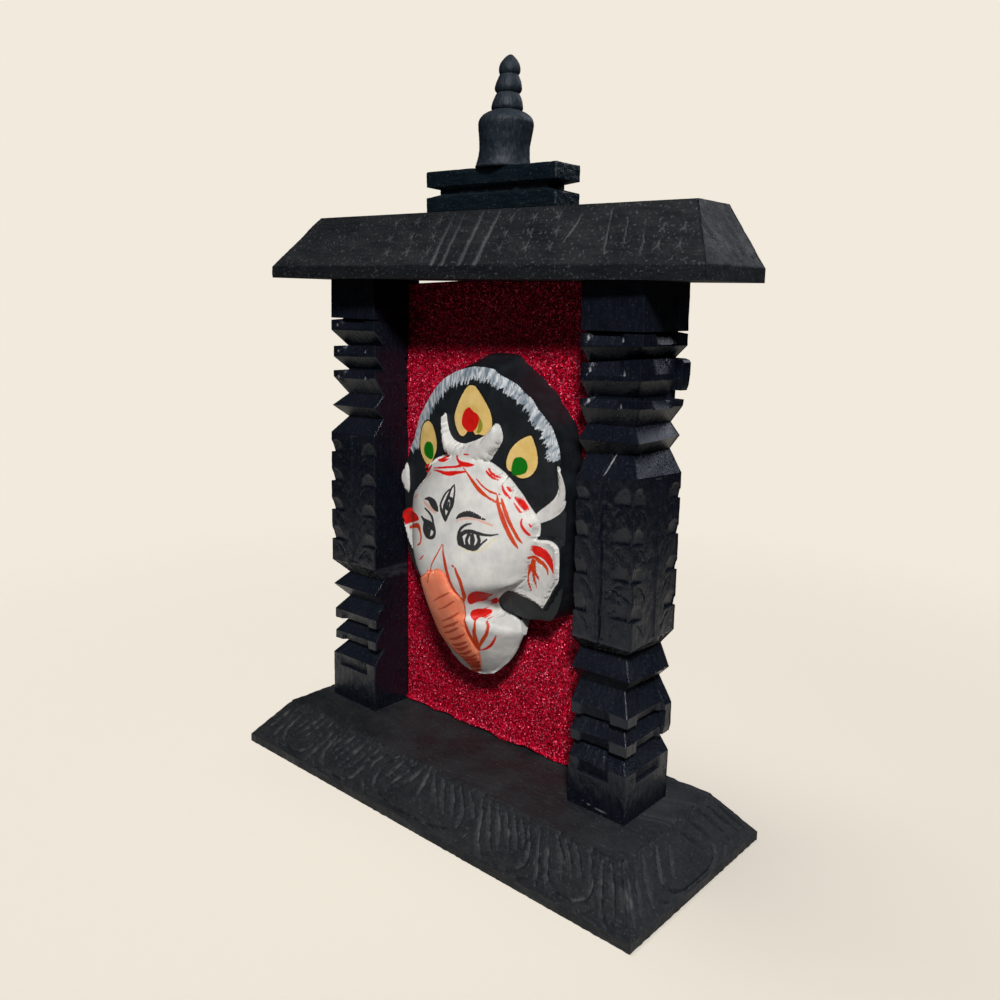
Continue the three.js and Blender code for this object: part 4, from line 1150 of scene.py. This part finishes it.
# The strokes below, the trunk's outline and the ears' red were read off enlargements of the photo. Another
# program then worked out where they lie on the mask, so their numbers are not round.
DARK_STROKES = [
    # Right brow, crease, lids, corner and iris.
    [(6.4, 137.1, 0.42), (8, 138.5, 0.98), (11.2, 139.7, 1.27), (14, 139.7, 1.18), (17.4, 139.1, 0.74),
     (20.4, 138.4, 0.33)],
    [(14.5, 136, 0.31), (12.1, 135.3, 0.56), (9.9, 133.4, 0.7), (9.4, 131.3, 0.85), (10, 129.1, 1.09),
     (10.4, 127.2, 0.6)],
    [(10.3, 130, 0.99), (11.6, 131.8, 1.04), (14.7, 132.9, 0.81), (18.4, 132.5, 0.74), (21.4, 132.2, 0.57),
     (24.1, 132.3, 0.44), (26.6, 132.9, 0.25)],
    [(10.8, 127.1, 0.76), (13.4, 126.5, 0.76), (16.3, 125.9, 0.85), (18.7, 126.1, 0.78),
     (20.7, 128.2, 0.45), (22.6, 130.4, 0.37)],
    [(10.9, 129, 1.21), (12.1, 127.5, 1.02)],
    [(14.5, 131.6, 0.88), (13.9, 129.2, 0.73), (14.9, 127.2, 0.8), (17.2, 126.3, 0.8)],
    [(16.1, 131.3, 0.93), (16.7, 129.3, 1.14), (16.9, 127.3, 0.92)],
    [(18.6, 131.6, 0.67), (19.6, 129.7, 0.74), (19.2, 127.5, 0.9), (17.6, 126.3, 0.68)],
    # Left brow, crease, lids and iris.
    [(-17.2, 141.5, 0.36), (-13.9, 142.1, 0.92), (-10.2, 141, 1.74), (-7.6, 139.6, 1.51),
     (-5.6, 138.3, 0.46)],
    [(-15.3, 137.8, 0.4), (-11.6, 136.7, 0.51), (-8.3, 134.9, 0.61), (-6.6, 132.4, 0.67),
     (-4.8, 129.8, 0.82), (-4.7, 127.7, 0.93), (-6.2, 126.7, 0.8)],
    [(-16.6, 133.8, 0.44), (-14.2, 133, 0.76), (-11.6, 132.5, 1.08), (-8.4, 132, 1.21), (-5.9, 130.6, 1.02)],
    [(-13, 132.1, 1.08), (-12.5, 129.8, 1.05), (-11.2, 128.1, 0.85), (-9.5, 127, 0.86),
     (-7.3, 126.5, 0.63), (-4.9, 127.3, 0.67)],
    [(-11.2, 131.5, 1.26), (-9.9, 129.3, 1.2), (-8.3, 127.7, 0.96)],
    [(-8.2, 131.6, 1.16), (-8, 129.2, 0.8), (-7.8, 127.4, 0.8)],
    # Third eye: two lids and a round iris.
    [(-0.4, 149.1, 0.3), (-3.1, 146.7, 0.5), (-4.3, 143.7, 0.6), (-4.6, 140.8, 0.64), (-2.7, 138.2, 0.81),
     (-0.1, 135.6, 0.69), (0.4, 135, 0.38)],
    [(0.2, 150.3, 0.32), (-0.9, 148.8, 0.49), (-1.3, 146, 0.76), (-1.7, 143.4, 0.85), (-2.1, 140.7, 0.88),
     (-1.5, 138.4, 0.69), (-0.2, 136.3, 0.67)],
    [(0.2, 150.3, 0.31), (1.4, 147.8, 0.49), (2.1, 145.1, 0.54), (2.6, 142.4, 0.54), (1.3, 138.9, 0.8),
     (0.3, 135.6, 0.72)],
    [(-1.5, 143.9, 0.88), (-1.4, 141.8, 0.99), (-0.1, 140.1, 0.76), (1.3, 140.1, 0.67), (2.1, 141.8, 1.04),
     (1.4, 143.8, 0.97), (-0.5, 144.7, 0.63), (-1.5, 143.9, 0.82)],
    [(-0, 142.9, 0.54), (0.4, 141.1, 0.56)],
]
RED_STROKES = [
    # Band and dashes on the brow.
    [(-3.9, 161.8, 0.54), (-2.2, 160.1, 0.57), (0.6, 159.1, 0.95), (3.3, 159.1, 1.02), (5.8, 159.2, 0.67),
     (7.4, 159.4, 0.24)],
    [(-18.2, 154.7, 0.22), (-12.8, 155.6, 0.43), (-7.6, 156.6, 0.47), (-2.8, 157.4, 0.49),
     (0.2, 158.4, 0.78)],
    [(-17.9, 153.8, 0.2), (-13, 154.1, 0.46), (-8.6, 154, 0.78), (-4.2, 154.4, 1.04), (-0.4, 155.3, 0.71),
     (3.9, 156.2, 0.39)],
    [(0.3, 163, 0.25), (1.9, 163.3, 0.4), (3.6, 163.3, 0.2)],
    [(-16.3, 158.8, 0.56), (-12, 160, 0.74), (-10.1, 161.2, 0.37)],
    [(-15.4, 158.1, 0.24), (-11.2, 158.9, 0.56), (-8.7, 160.1, 0.25)],
    [(-30.1, 152.6, 0.43), (-28.5, 153.5, 0.83), (-23.6, 154.9, 0.37)],
    [(-29.2, 150.6, 0.34), (-22.8, 153.1, 0.83), (-20.1, 155.3, 0.46)],
    [(14.1, 157.8, 0.28), (16, 156.4, 0.49), (18.5, 155.1, 0.43), (20.9, 154.5, 0.25)],
    [(14.7, 158.6, 0.21), (16.5, 157.3, 0.37), (19, 156.1, 0.43), (21.2, 155.5, 0.23)],
    # Leaves and dashes down the right temple.
    [(23.1, 152.5, 0.27), (24.1, 150.8, 0.47), (25.8, 149.1, 0.58), (28.1, 147.5, 0.25)],
    [(25.2, 152, 0.31), (26.4, 150.9, 0.47), (27.3, 150.3, 0.21)],
    [(29.3, 148.2, 0.29), (31.2, 146.3, 0.5), (33, 144.6, 0.47), (34.3, 143, 0.14)],
    [(29.7, 145.9, 0.21), (31.5, 144.1, 0.39), (32.9, 142.7, 0.38), (33.6, 142.4, 0.21)],
    [(34.5, 139.8, 0.3), (34.5, 138.1, 0.42), (35.5, 135.8, 0.54), (36.8, 133.9, 0.58), (37.5, 132.9, 0.29)],
    [(37.3, 137.8, 0.28), (37.9, 136.8, 0.41)],
    # The dark stroke by the tusk and a faint one on the left ear.
    [(12.3, 75.9, 0.32), (15.1, 77.4, 0.52), (17.6, 79.6, 0.52), (19.9, 82.7, 0.38), (21.5, 85.5, 0.14)],
    [(-9.3, 118.4, 0.29), (-10.7, 117, 0.36), (-12.4, 115.7, 0.31)],
]
ORANGE_STROKES = [
    # Across the brow and down the temple.
    [(1.4, 158, 0.21), (4.6, 156, 0.31), (8.1, 153.7, 0.53), (11.5, 151.4, 0.71), (15, 149.2, 0.77),
     (18.7, 147.4, 0.49), (22, 146.1, 0.47), (25.5, 145.3, 0.21)],
    [(10.9, 154, 0.22), (13.9, 152.1, 0.33), (17.1, 150.4, 0.36), (20.4, 149.3, 0.42), (23.3, 148.9, 0.29)],
    [(22.2, 148.8, 0.21), (23.5, 145.8, 0.59), (25, 143.2, 0.71), (27.2, 139.9, 0.86), (29.7, 135.5, 0.82),
     (31.5, 131.8, 0.75), (32.8, 129.2, 0.61), (33.7, 127.3, 0.23)],
    [(24.6, 147.2, 0.35), (26.1, 144.7, 0.63), (28.1, 141.7, 0.71), (30.6, 137.8, 0.67),
     (32.6, 134.2, 0.62), (33.9, 131.4, 0.57), (35.1, 129.5, 0.21)],
    # Nose and trunk lines and the tusk.
    [(1.9, 125.3, 0.27), (2.7, 122.2, 0.45), (4.3, 119.1, 0.74), (5.5, 115.5, 0.88), (6.5, 111.6, 0.9),
     (7.7, 108.2, 0.76), (9, 105.5, 0.66), (10.3, 103.3, 0.3), (10.7, 101, 0.41)],
    [(9, 117.5, 0.49), (9.6, 117.3, 0.43)],
    [(10.5, 116.7, 0.49), (11.5, 114.1, 0.76), (12.6, 111.2, 0.91), (12.9, 107.6, 0.81), (12.2, 104, 0.82),
     (10.6, 100.3, 0.25), (10, 96.4, 0.22), (9.6, 92.5, 0.23), (9.7, 88.7, 0.63), (9.6, 84.6, 1.01),
     (10.2, 81.1, 1.21), (10.9, 78.2, 1.33), (11.1, 76, 0.83)],
    [(1.2, 125.2, 0.25), (0.1, 122.2, 0.32), (-1.8, 118.5, 0.38), (-3.9, 114.5, 0.33), (-4.7, 110.9, 0.35),
     (-6, 106.9, 0.34)],
    [(13.9, 91.6, 0.33), (13.8, 88.9, 0.55), (12.6, 85.2, 0.92), (11.7, 80.2, 1.13), (11.3, 76.7, 0.73)],
    [(17.7, 91.4, 0.25), (18.9, 89.4, 0.52), (18.2, 86.2, 0.63), (15.2, 82.1, 0.75), (12, 77.8, 0.51)],
    # Tongues in the right ear.
    [(36.7, 122.9, 0.56), (38.8, 123.3, 0.76), (40.5, 121.7, 0.94), (42.6, 120.3, 0.88),
     (44.2, 118.7, 0.68), (44.7, 116.6, 0.31)],
    [(37.9, 121.5, 1.1), (37.7, 119.4, 1.2)],
    [(36.8, 118.8, 1.17), (35.6, 115.6, 0.58), (35.2, 112.5, 0.34), (35.3, 109.9, 0.46), (36, 107.4, 0.21)],
    [(37.5, 118.4, 0.75), (37.7, 115.4, 0.52), (37.9, 112.3, 0.47), (38.6, 109.4, 0.19)],
    [(37.9, 118.9, 0.88), (38.3, 116.4, 0.6), (39.1, 114.6, 0.49), (39.7, 113.1, 0.19)],
    # The left ear's hook.
    [(-41.1, 121.8, 0.73), (-21.2, 128.8, 1.01), (-17.2, 129, 1.05), (-14.8, 127.3, 0.65),
     (-13.4, 125.2, 0.65), (-13.5, 122.8, 0.53), (-15.9, 121.4, 0.31)],
]
# The bristly rings of the trunk, each a short slanted stroke.
TRUNK_RINGS = [
    [(-5, 97.9, 0.19), (-0.4, 100.8, 0.39), (3.7, 103.1, 0.44), (6.4, 104.8, 0.22)],
    [(-3.1, 94.2, 0.16), (1.7, 96.6, 0.35), (4.9, 98.7, 0.45), (7.6, 100.7, 0.23)],
    [(-4, 87.7, 0.23), (1.2, 90.4, 0.43), (5.4, 92.9, 0.54), (7.9, 94.9, 0.23)],
    [(-5.4, 83.7, 0.23), (-0.9, 86, 0.59), (3.7, 88.3, 0.65), (7.1, 90.5, 0.27)],
    [(-5.9, 80.8, 0.31), (-1.9, 82.5, 0.51), (2, 84.7, 0.6), (6, 87, 0.32)],
    [(-4.1, 78, 0.36), (-0, 79.4, 0.69), (3.7, 81.3, 0.65), (7.5, 83.8, 0.35)],
    [(-4.2, 74.8, 0.37), (-0.7, 75.6, 0.81), (3.1, 77.4, 0.7), (7.4, 79.8, 0.35)],
    [(-3.7, 73, 0.37), (-0.8, 73, 0.93), (3.1, 74.9, 0.76), (6.9, 77.3, 0.33)],
    [(-2.6, 70.1, 0.37), (0.8, 70.9, 0.81), (4.3, 72.7, 0.69), (7.4, 74.8, 0.33)],
    [(-1.9, 68.4, 0.37), (1.7, 68.9, 0.83), (5.2, 70.4, 0.81), (8.3, 72.4, 0.35)],
    [(-1.8, 66.4, 0.37), (2.1, 67.4, 0.83), (5.3, 68.7, 0.86), (7.8, 70.3, 0.35)],
    [(-1.3, 64.5, 0.37), (2.5, 65.5, 0.93), (5, 66.5, 0.91), (7.5, 68.2, 0.41)],
    [(-1.4, 62.6, 0.37), (2.4, 63.6, 0.83), (4.9, 64.6, 0.93), (6.3, 65.5, 0.41)],
    [(-2.6, 59.2, 0.37), (0.9, 60.2, 0.83), (4.3, 62, 0.56)],
]
# Thin salmon wash below the brows.
WASH_STROKES = [
    [(6.7, 136, 0.31), (10.6, 137.6, 0.4), (15, 138, 0.38), (19.4, 137.5, 0.46), (23.9, 136.4, 0.42)],
    [(-17.8, 140.6, 0.31), (-14.6, 139.5, 0.68), (-10.4, 138.4, 0.68), (-6.4, 137.1, 0.31)],
    [(-20.2, 151.9, 0.5), (-23.6, 149.2, 0.45), (-24.1, 147, 0.3)],
    [(-30.3, 139, 0.46), (-27.4, 140.7, 0.74), (-25.1, 141.2, 0.24)],
]
# A thin yellow line under the right eye.
YELLOW_STROKES = [
    [(11.6, 126, 0.2), (15.9, 124.8, 0.25), (19.8, 125.3, 0.4), (22.3, 126.9, 0.38), (24.8, 130.2, 0.38),
     (26.8, 131.5, 0.19)],
]


def mask_fields(x, z):
    """For each paint, how far inside it a place is, in millimetres."""
    white = np.maximum(inside_area(x, z, face_line) + 0.3, inside_area(x, z, CRESCENT))
    for points in (*EARS, *RIBBONS):
        white = np.maximum(white, inside_area(x, z, points) - 0.25)
    rim = inside_area(x, z, HOOD_OUTLINE, 12)
    turn = np.arctan2(x - HOOD_AT[0], z - HOOD_AT[1])
    lean = turn * 66 + 0.25 * rim
    hairs = np.array([noise.noise(Vector((a * 1.15, 3.3, 0))) for a in lean])
    tufts = np.array([noise.noise(Vector((a * 0.3, 8.1, 0))) for a in lean])
    tips = np.array([noise.noise(Vector((a * 1.3, 5.1, 0))) for a in lean])
    # On the right the hairs also start ragged, a little in from the rim.
    start = np.where(x > 8, 0.5 + 1.6 * tips, -0.4)
    fringe = np.minimum(FRINGE_WIDE + 3 * hairs + 1.4 * tufts - rim, (rim - start) * 1.5)
    ends = np.where(x > 0, FRINGE_ENDS[1], FRINGE_ENDS[0])
    fringe = np.minimum(fringe * 0.35, (z - ends - 3.5 * hairs) * 0.5)
    fringe = np.where(rim > -0.2, np.clip(fringe, -1.5, 1.5), -1.5)
    streaks = np.array([noise.noise(Vector((a * 1.7, 1.7, r * 0.16))) for a, r in zip(lean, rim)])
    yellow = inside_area(x, z, FLAME)
    for points in (SIDE_FLAME, LEFT_FLAME):
        yellow = np.maximum(yellow, inside_area(x, z, points))
    green = np.maximum(inside_area(x, z, GREEN_DOT), inside_area(x, z, mirrored(GREEN_DOT)))
    red = inside_strokes(x, z, RED_STROKES)
    for points in (JEWEL, EAR_RED, LEFT_EAR_RED):
        red = np.maximum(red, inside_area(x, z, points))
    # The lip and the tusk's end are brushed on from the right, over the steep edge beside the neck.
    depth = mask_forward(x, z) - BRUSHED_AT
    for points in (LIP, TUSK_CAP):
        red = np.maximum(red, inside_area(x - BRUSH_SLOPE[0] * depth, z - BRUSH_SLOPE[1] * depth, points))
    return {
        "white_paint": white,
        "fringe": fringe,
        "streaks": streaks,
        "yellow_paint": yellow,
        "green_paint": green,
        "olive_paint": inside_area(x, z, JEWEL_LEAF),
        "salmon_paint": inside_area(x, z, TRUNK),
        "rings": inside_strokes(x, z, TRUNK_RINGS),
        "wash": inside_strokes(x, z, WASH_STROKES),
        "under_eye": inside_strokes(x, z, YELLOW_STROKES),
        "orange_paint": inside_strokes(x, z, ORANGE_STROKES),
        "red_paint": red,
        "black_paint": inside_strokes(x, z, DARK_STROKES),
    }


def on_mask(bm):
    """The front view place of each grid vertex: the square grid is laid into the mask's outline."""
    at = np.array([v.co for v in bm.verts])[:, :2] * 2
    a, b = at.T
    wide = np.abs(a) > np.abs(b)
    share = np.maximum(np.abs(a), np.abs(b))
    safe_a = np.where(wide, np.where(a == 0, 1, a), 1)
    safe_b = np.where(wide, 1, np.where(b == 0, 1, b))
    turn = np.where(
        wide,
        math.pi / 4 * b / safe_a + math.pi * (a < 0),
        math.pi / 2 - math.pi / 4 * a / safe_b + math.pi * (b < 0),
    )
    turn = np.arctan2(np.sin(turn), np.cos(turn))
    out = reach_at(turn, mask_outline, MASK_AT)
    out = out * share**5 + (1 - share**5) * np.interp(turn, turns, plain_reach)
    return MASK_AT[0] + share * out * np.cos(turn), MASK_AT[1] + share * out * np.sin(turn)


# The mask's outer line: the furthest of the hood, the face and the ribbons in each direction.
turns = np.linspace(-math.pi, math.pi, 721)[:-1]
ray = np.stack([np.cos(turns), np.sin(turns)], 1)
furthest = np.zeros(len(turns))
for out in np.arange(30, 90, 0.25):
    at = MASK_AT + ray * out
    covered = np.full(len(turns), -1.0)
    for points in (HOOD_OUTLINE, face_line, *RIBBONS):
        covered = np.maximum(covered, inside_area(at[:, 0], at[:, 1], points, 1))
    furthest = np.where(covered > 0, out, furthest)
mask_outline = [tuple(p) for p in MASK_AT + ray[::4] * furthest[::4, None]]
plain_reach = np.array([furthest[np.arange(i - 40, i + 41) % 720].mean() for i in range(720)])

bm = bmesh.new()
MASK_GRID = 130
bmesh.ops.create_grid(bm, x_segments=MASK_GRID, y_segments=MASK_GRID, size=0.5)
bm.verts.index_update()
# The grid is cut finer near the edges of the paints, and once more at the thin black lines.
for near in (0.9, 0.42):
    x, z = on_mask(bm)
    cut_finer(bm, np.min(np.abs([v for k, v in mask_fields(x, z).items() if k != "streaks"]), axis=0) < near)
x, z = on_mask(bm)
cut_finer(bm, np.abs(mask_fields(x, z)["black_paint"]) < 0.25)
x, z = on_mask(bm)
forward = mask_forward(x, z)
origin = bm.verts.layers.float_vector.new("front_place")
for v, px, pz, out in zip(bm.verts, x, z, forward):
    v[origin] = (px, pz, 0)
    v.co = (px / 1000, -out / 1000, pz / 1000)
# The hood's wall leans out to its foot, most at the top: height, and how far there.
FOOT_FLARE = [[92, 100, 180, 190, 196, 198.5, 200], [0.3, 1.3, 1.4, 2, 2.6, 4.6, 5.6]]
RIM_STEP = 0.9
for to_cloth in (False, True):
    made = bmesh.ops.extrude_edge_only(bm, edges=[e for e in bm.edges if e.is_boundary])
    for v in (g for g in made["geom"] if isinstance(g, bmesh.types.BMVert)):
        px, pz, _ = v[origin]
        v[origin] = (px, pz, 1)
        if not to_cloth:
            v.co = (px / 1000, (v.co.y * 1000 + RIM_STEP) / 1000, pz / 1000)
            continue
        if abs(px) > 30 or pz > 95:
            away = Vector((px, pz - HOOD_AT[1])).normalized() * np.interp(pz, *FOOT_FLARE)
            foot = Vector((px + away.x, pz + away.y))
        else:
            # The chin's wall draws in towards the cloth.
            foot = Vector((px * 0.72, 112 + (pz - 112) * 0.9))
        v.co = (foot.x / 1000, CLOTH_FRONT / 1000, foot.y / 1000)
close(bm)
places = np.array([v[origin] for v in bm.verts])
mask = finished(bm, "painted_mask", 42)
fields = mask_fields(places[:, 0], places[:, 1])
# The hood's and the ribbons' walls are black, the chin's is white.
wall = places[:, 2] > 0.5
fields["fringe"] = np.where(wall, -1.5, fields["fringe"])
on_chin = inside_area(places[:, 0], places[:, 1], face_line) > -0.5
fields["white_paint"] = np.where(wall, np.where(on_chin, 1, -1.5), fields["white_paint"])
for name, values in fields.items():
    keep_field(mask, name, values)

enamel, tree, shader = new_material("hand painted papier-mache")
# Water-based paint on primed paper: satin, slightly lumpy, with brush streaks and soft-edged strokes. The eye
# gets a chalky off-white against a blue-black, and strong red, orange, yellow and green.
place = add(tree, "TexCoord")
here = {"Vector": place.outputs["Object"]}
wavy = add(tree, "TexNoise", {"Scale": 1100.0, "Detail": 2.0}, here)
unsteady = add(tree, "MapRange", {"To Min": -0.16, "To Max": 0.16}, {"Value": wavy.outputs["Fac"]})
lumps = add(tree, "TexNoise", {"Scale": 160.0, "Detail": 4.0, "Roughness": 0.55}, here)
brushed = add(tree, "Mapping", {"Scale": (700, 700, 160)}, here)
strokes = add(tree, "TexNoise", {"Scale": 1.0, "Detail": 3.0}, {"Vector": brushed})
mottle = add(tree, "MapRange", {"From Min": 0.3, "From Max": 0.7}, {"Value": lumps.outputs["Fac"]})
streak = add(tree, "Attribute", attribute_name="streaks")
streaky = add(tree, "MapRange", {"From Min": -0.35, "From Max": 0.4}, {"Value": streak.outputs["Fac"]})
# The darker and lighter tone of each paint, which change with the lumps, and in the hairs with the streaks.
TONES = {
    "white": ("#c4c8c8", "#dcdedb"),
    "hood": ("#0e1317", "#181e24"),
    "hair": ("#6d8090", "#dfe8ee"),
    "yellow": ("#d9b964", "#ecd08a"),
    "salmon": ("#f0805c", "#fb9a76"),
    "red": ("#c20d06", "#dd1a12"),
    "orange": ("#b8300a", "#cc4616"),
}
tones = {}
for name, (darker, lighter) in TONES.items():
    change = streaky if name == "hair" else mottle
    tone = add(tree, "Mix", {6: linear(darker), 7: linear(lighter)}, {0: change}, data_type="RGBA")
    tones[name] = tone.outputs[2]
PAINTS = [
    ("fringe", tones["hair"], 0.12, 0.94),
    ("yellow_paint", None, 0.12, 1.0),
    ("yellow_paint", tones["yellow"], 0.12, 1.0),
    ("green_paint", linear("#066f0a"), 0.12, 1.0),
    ("olive_paint", linear("#8b8d1e"), 0.15, 0.95),
    ("white_paint", tones["white"], 0.12, 1.0),
    ("salmon_paint", tones["salmon"], 0.25, 1.0),
    ("wash", linear("#d79b86"), 0.3, 0.8),
    ("under_eye", linear("#d5cf9c"), 0.3, 0.7),
    ("rings", linear("#b8371f"), 0.2, 0.9),
    ("orange_paint", tones["orange"], 0.12, 1.0),
    ("red_paint", tones["red"], 0.12, 1.0),
    ("black_paint", linear("#15171b"), 0.1, 0.97),
]
colour = tones["hood"]
for name, paint, soft, cover in PAINTS:
    inside = add(tree, "Attribute", attribute_name=name)
    shaky = add(tree, "Math", links={0: inside.outputs["Fac"], 1: unsteady}, operation="ADD")
    shift = 0.0
    if paint is None:
        # A flame has a thin dark line round it.
        paint = linear("#0d0f0c")
        shift = 0.7
    edge = {"From Min": -soft - shift, "From Max": soft - shift, "To Max": cover}
    cover_map = add(tree, "MapRange", edge, {"Value": shaky})
    links = {0: cover_map, 6: colour}
    values = {}
    if isinstance(paint, list):
        values[7] = paint
    else:
        links[7] = paint
    colour = add(tree, "Mix", values, links, data_type="RGBA").outputs[2]
dull = add(tree, "MapRange", {"To Min": 0.38, "To Max": 0.62}, {"Value": lumps.outputs["Fac"]})
height = add(tree, "Math", links={0: lumps.outputs["Fac"], 1: strokes.outputs["Fac"]}, operation="ADD")
bump = add(tree, "Bump", {"Strength": 0.35, "Distance": 0.0006}, {"Height": height})
feed(shader, {"Base Color": colour, "Roughness": dull, "Normal": bump})
shader.inputs["Specular IOR Level"].default_value = 0.3
mask.data.materials.append(enamel)
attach(mask, "root")
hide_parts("mask")
# A pale card below the gate throws a little light up at the chin.
soft_light("chin_card", yaw=30, height=-4, distance=1.4, size=0.6, power=3.0, colour="#fff0ec", only=mask)
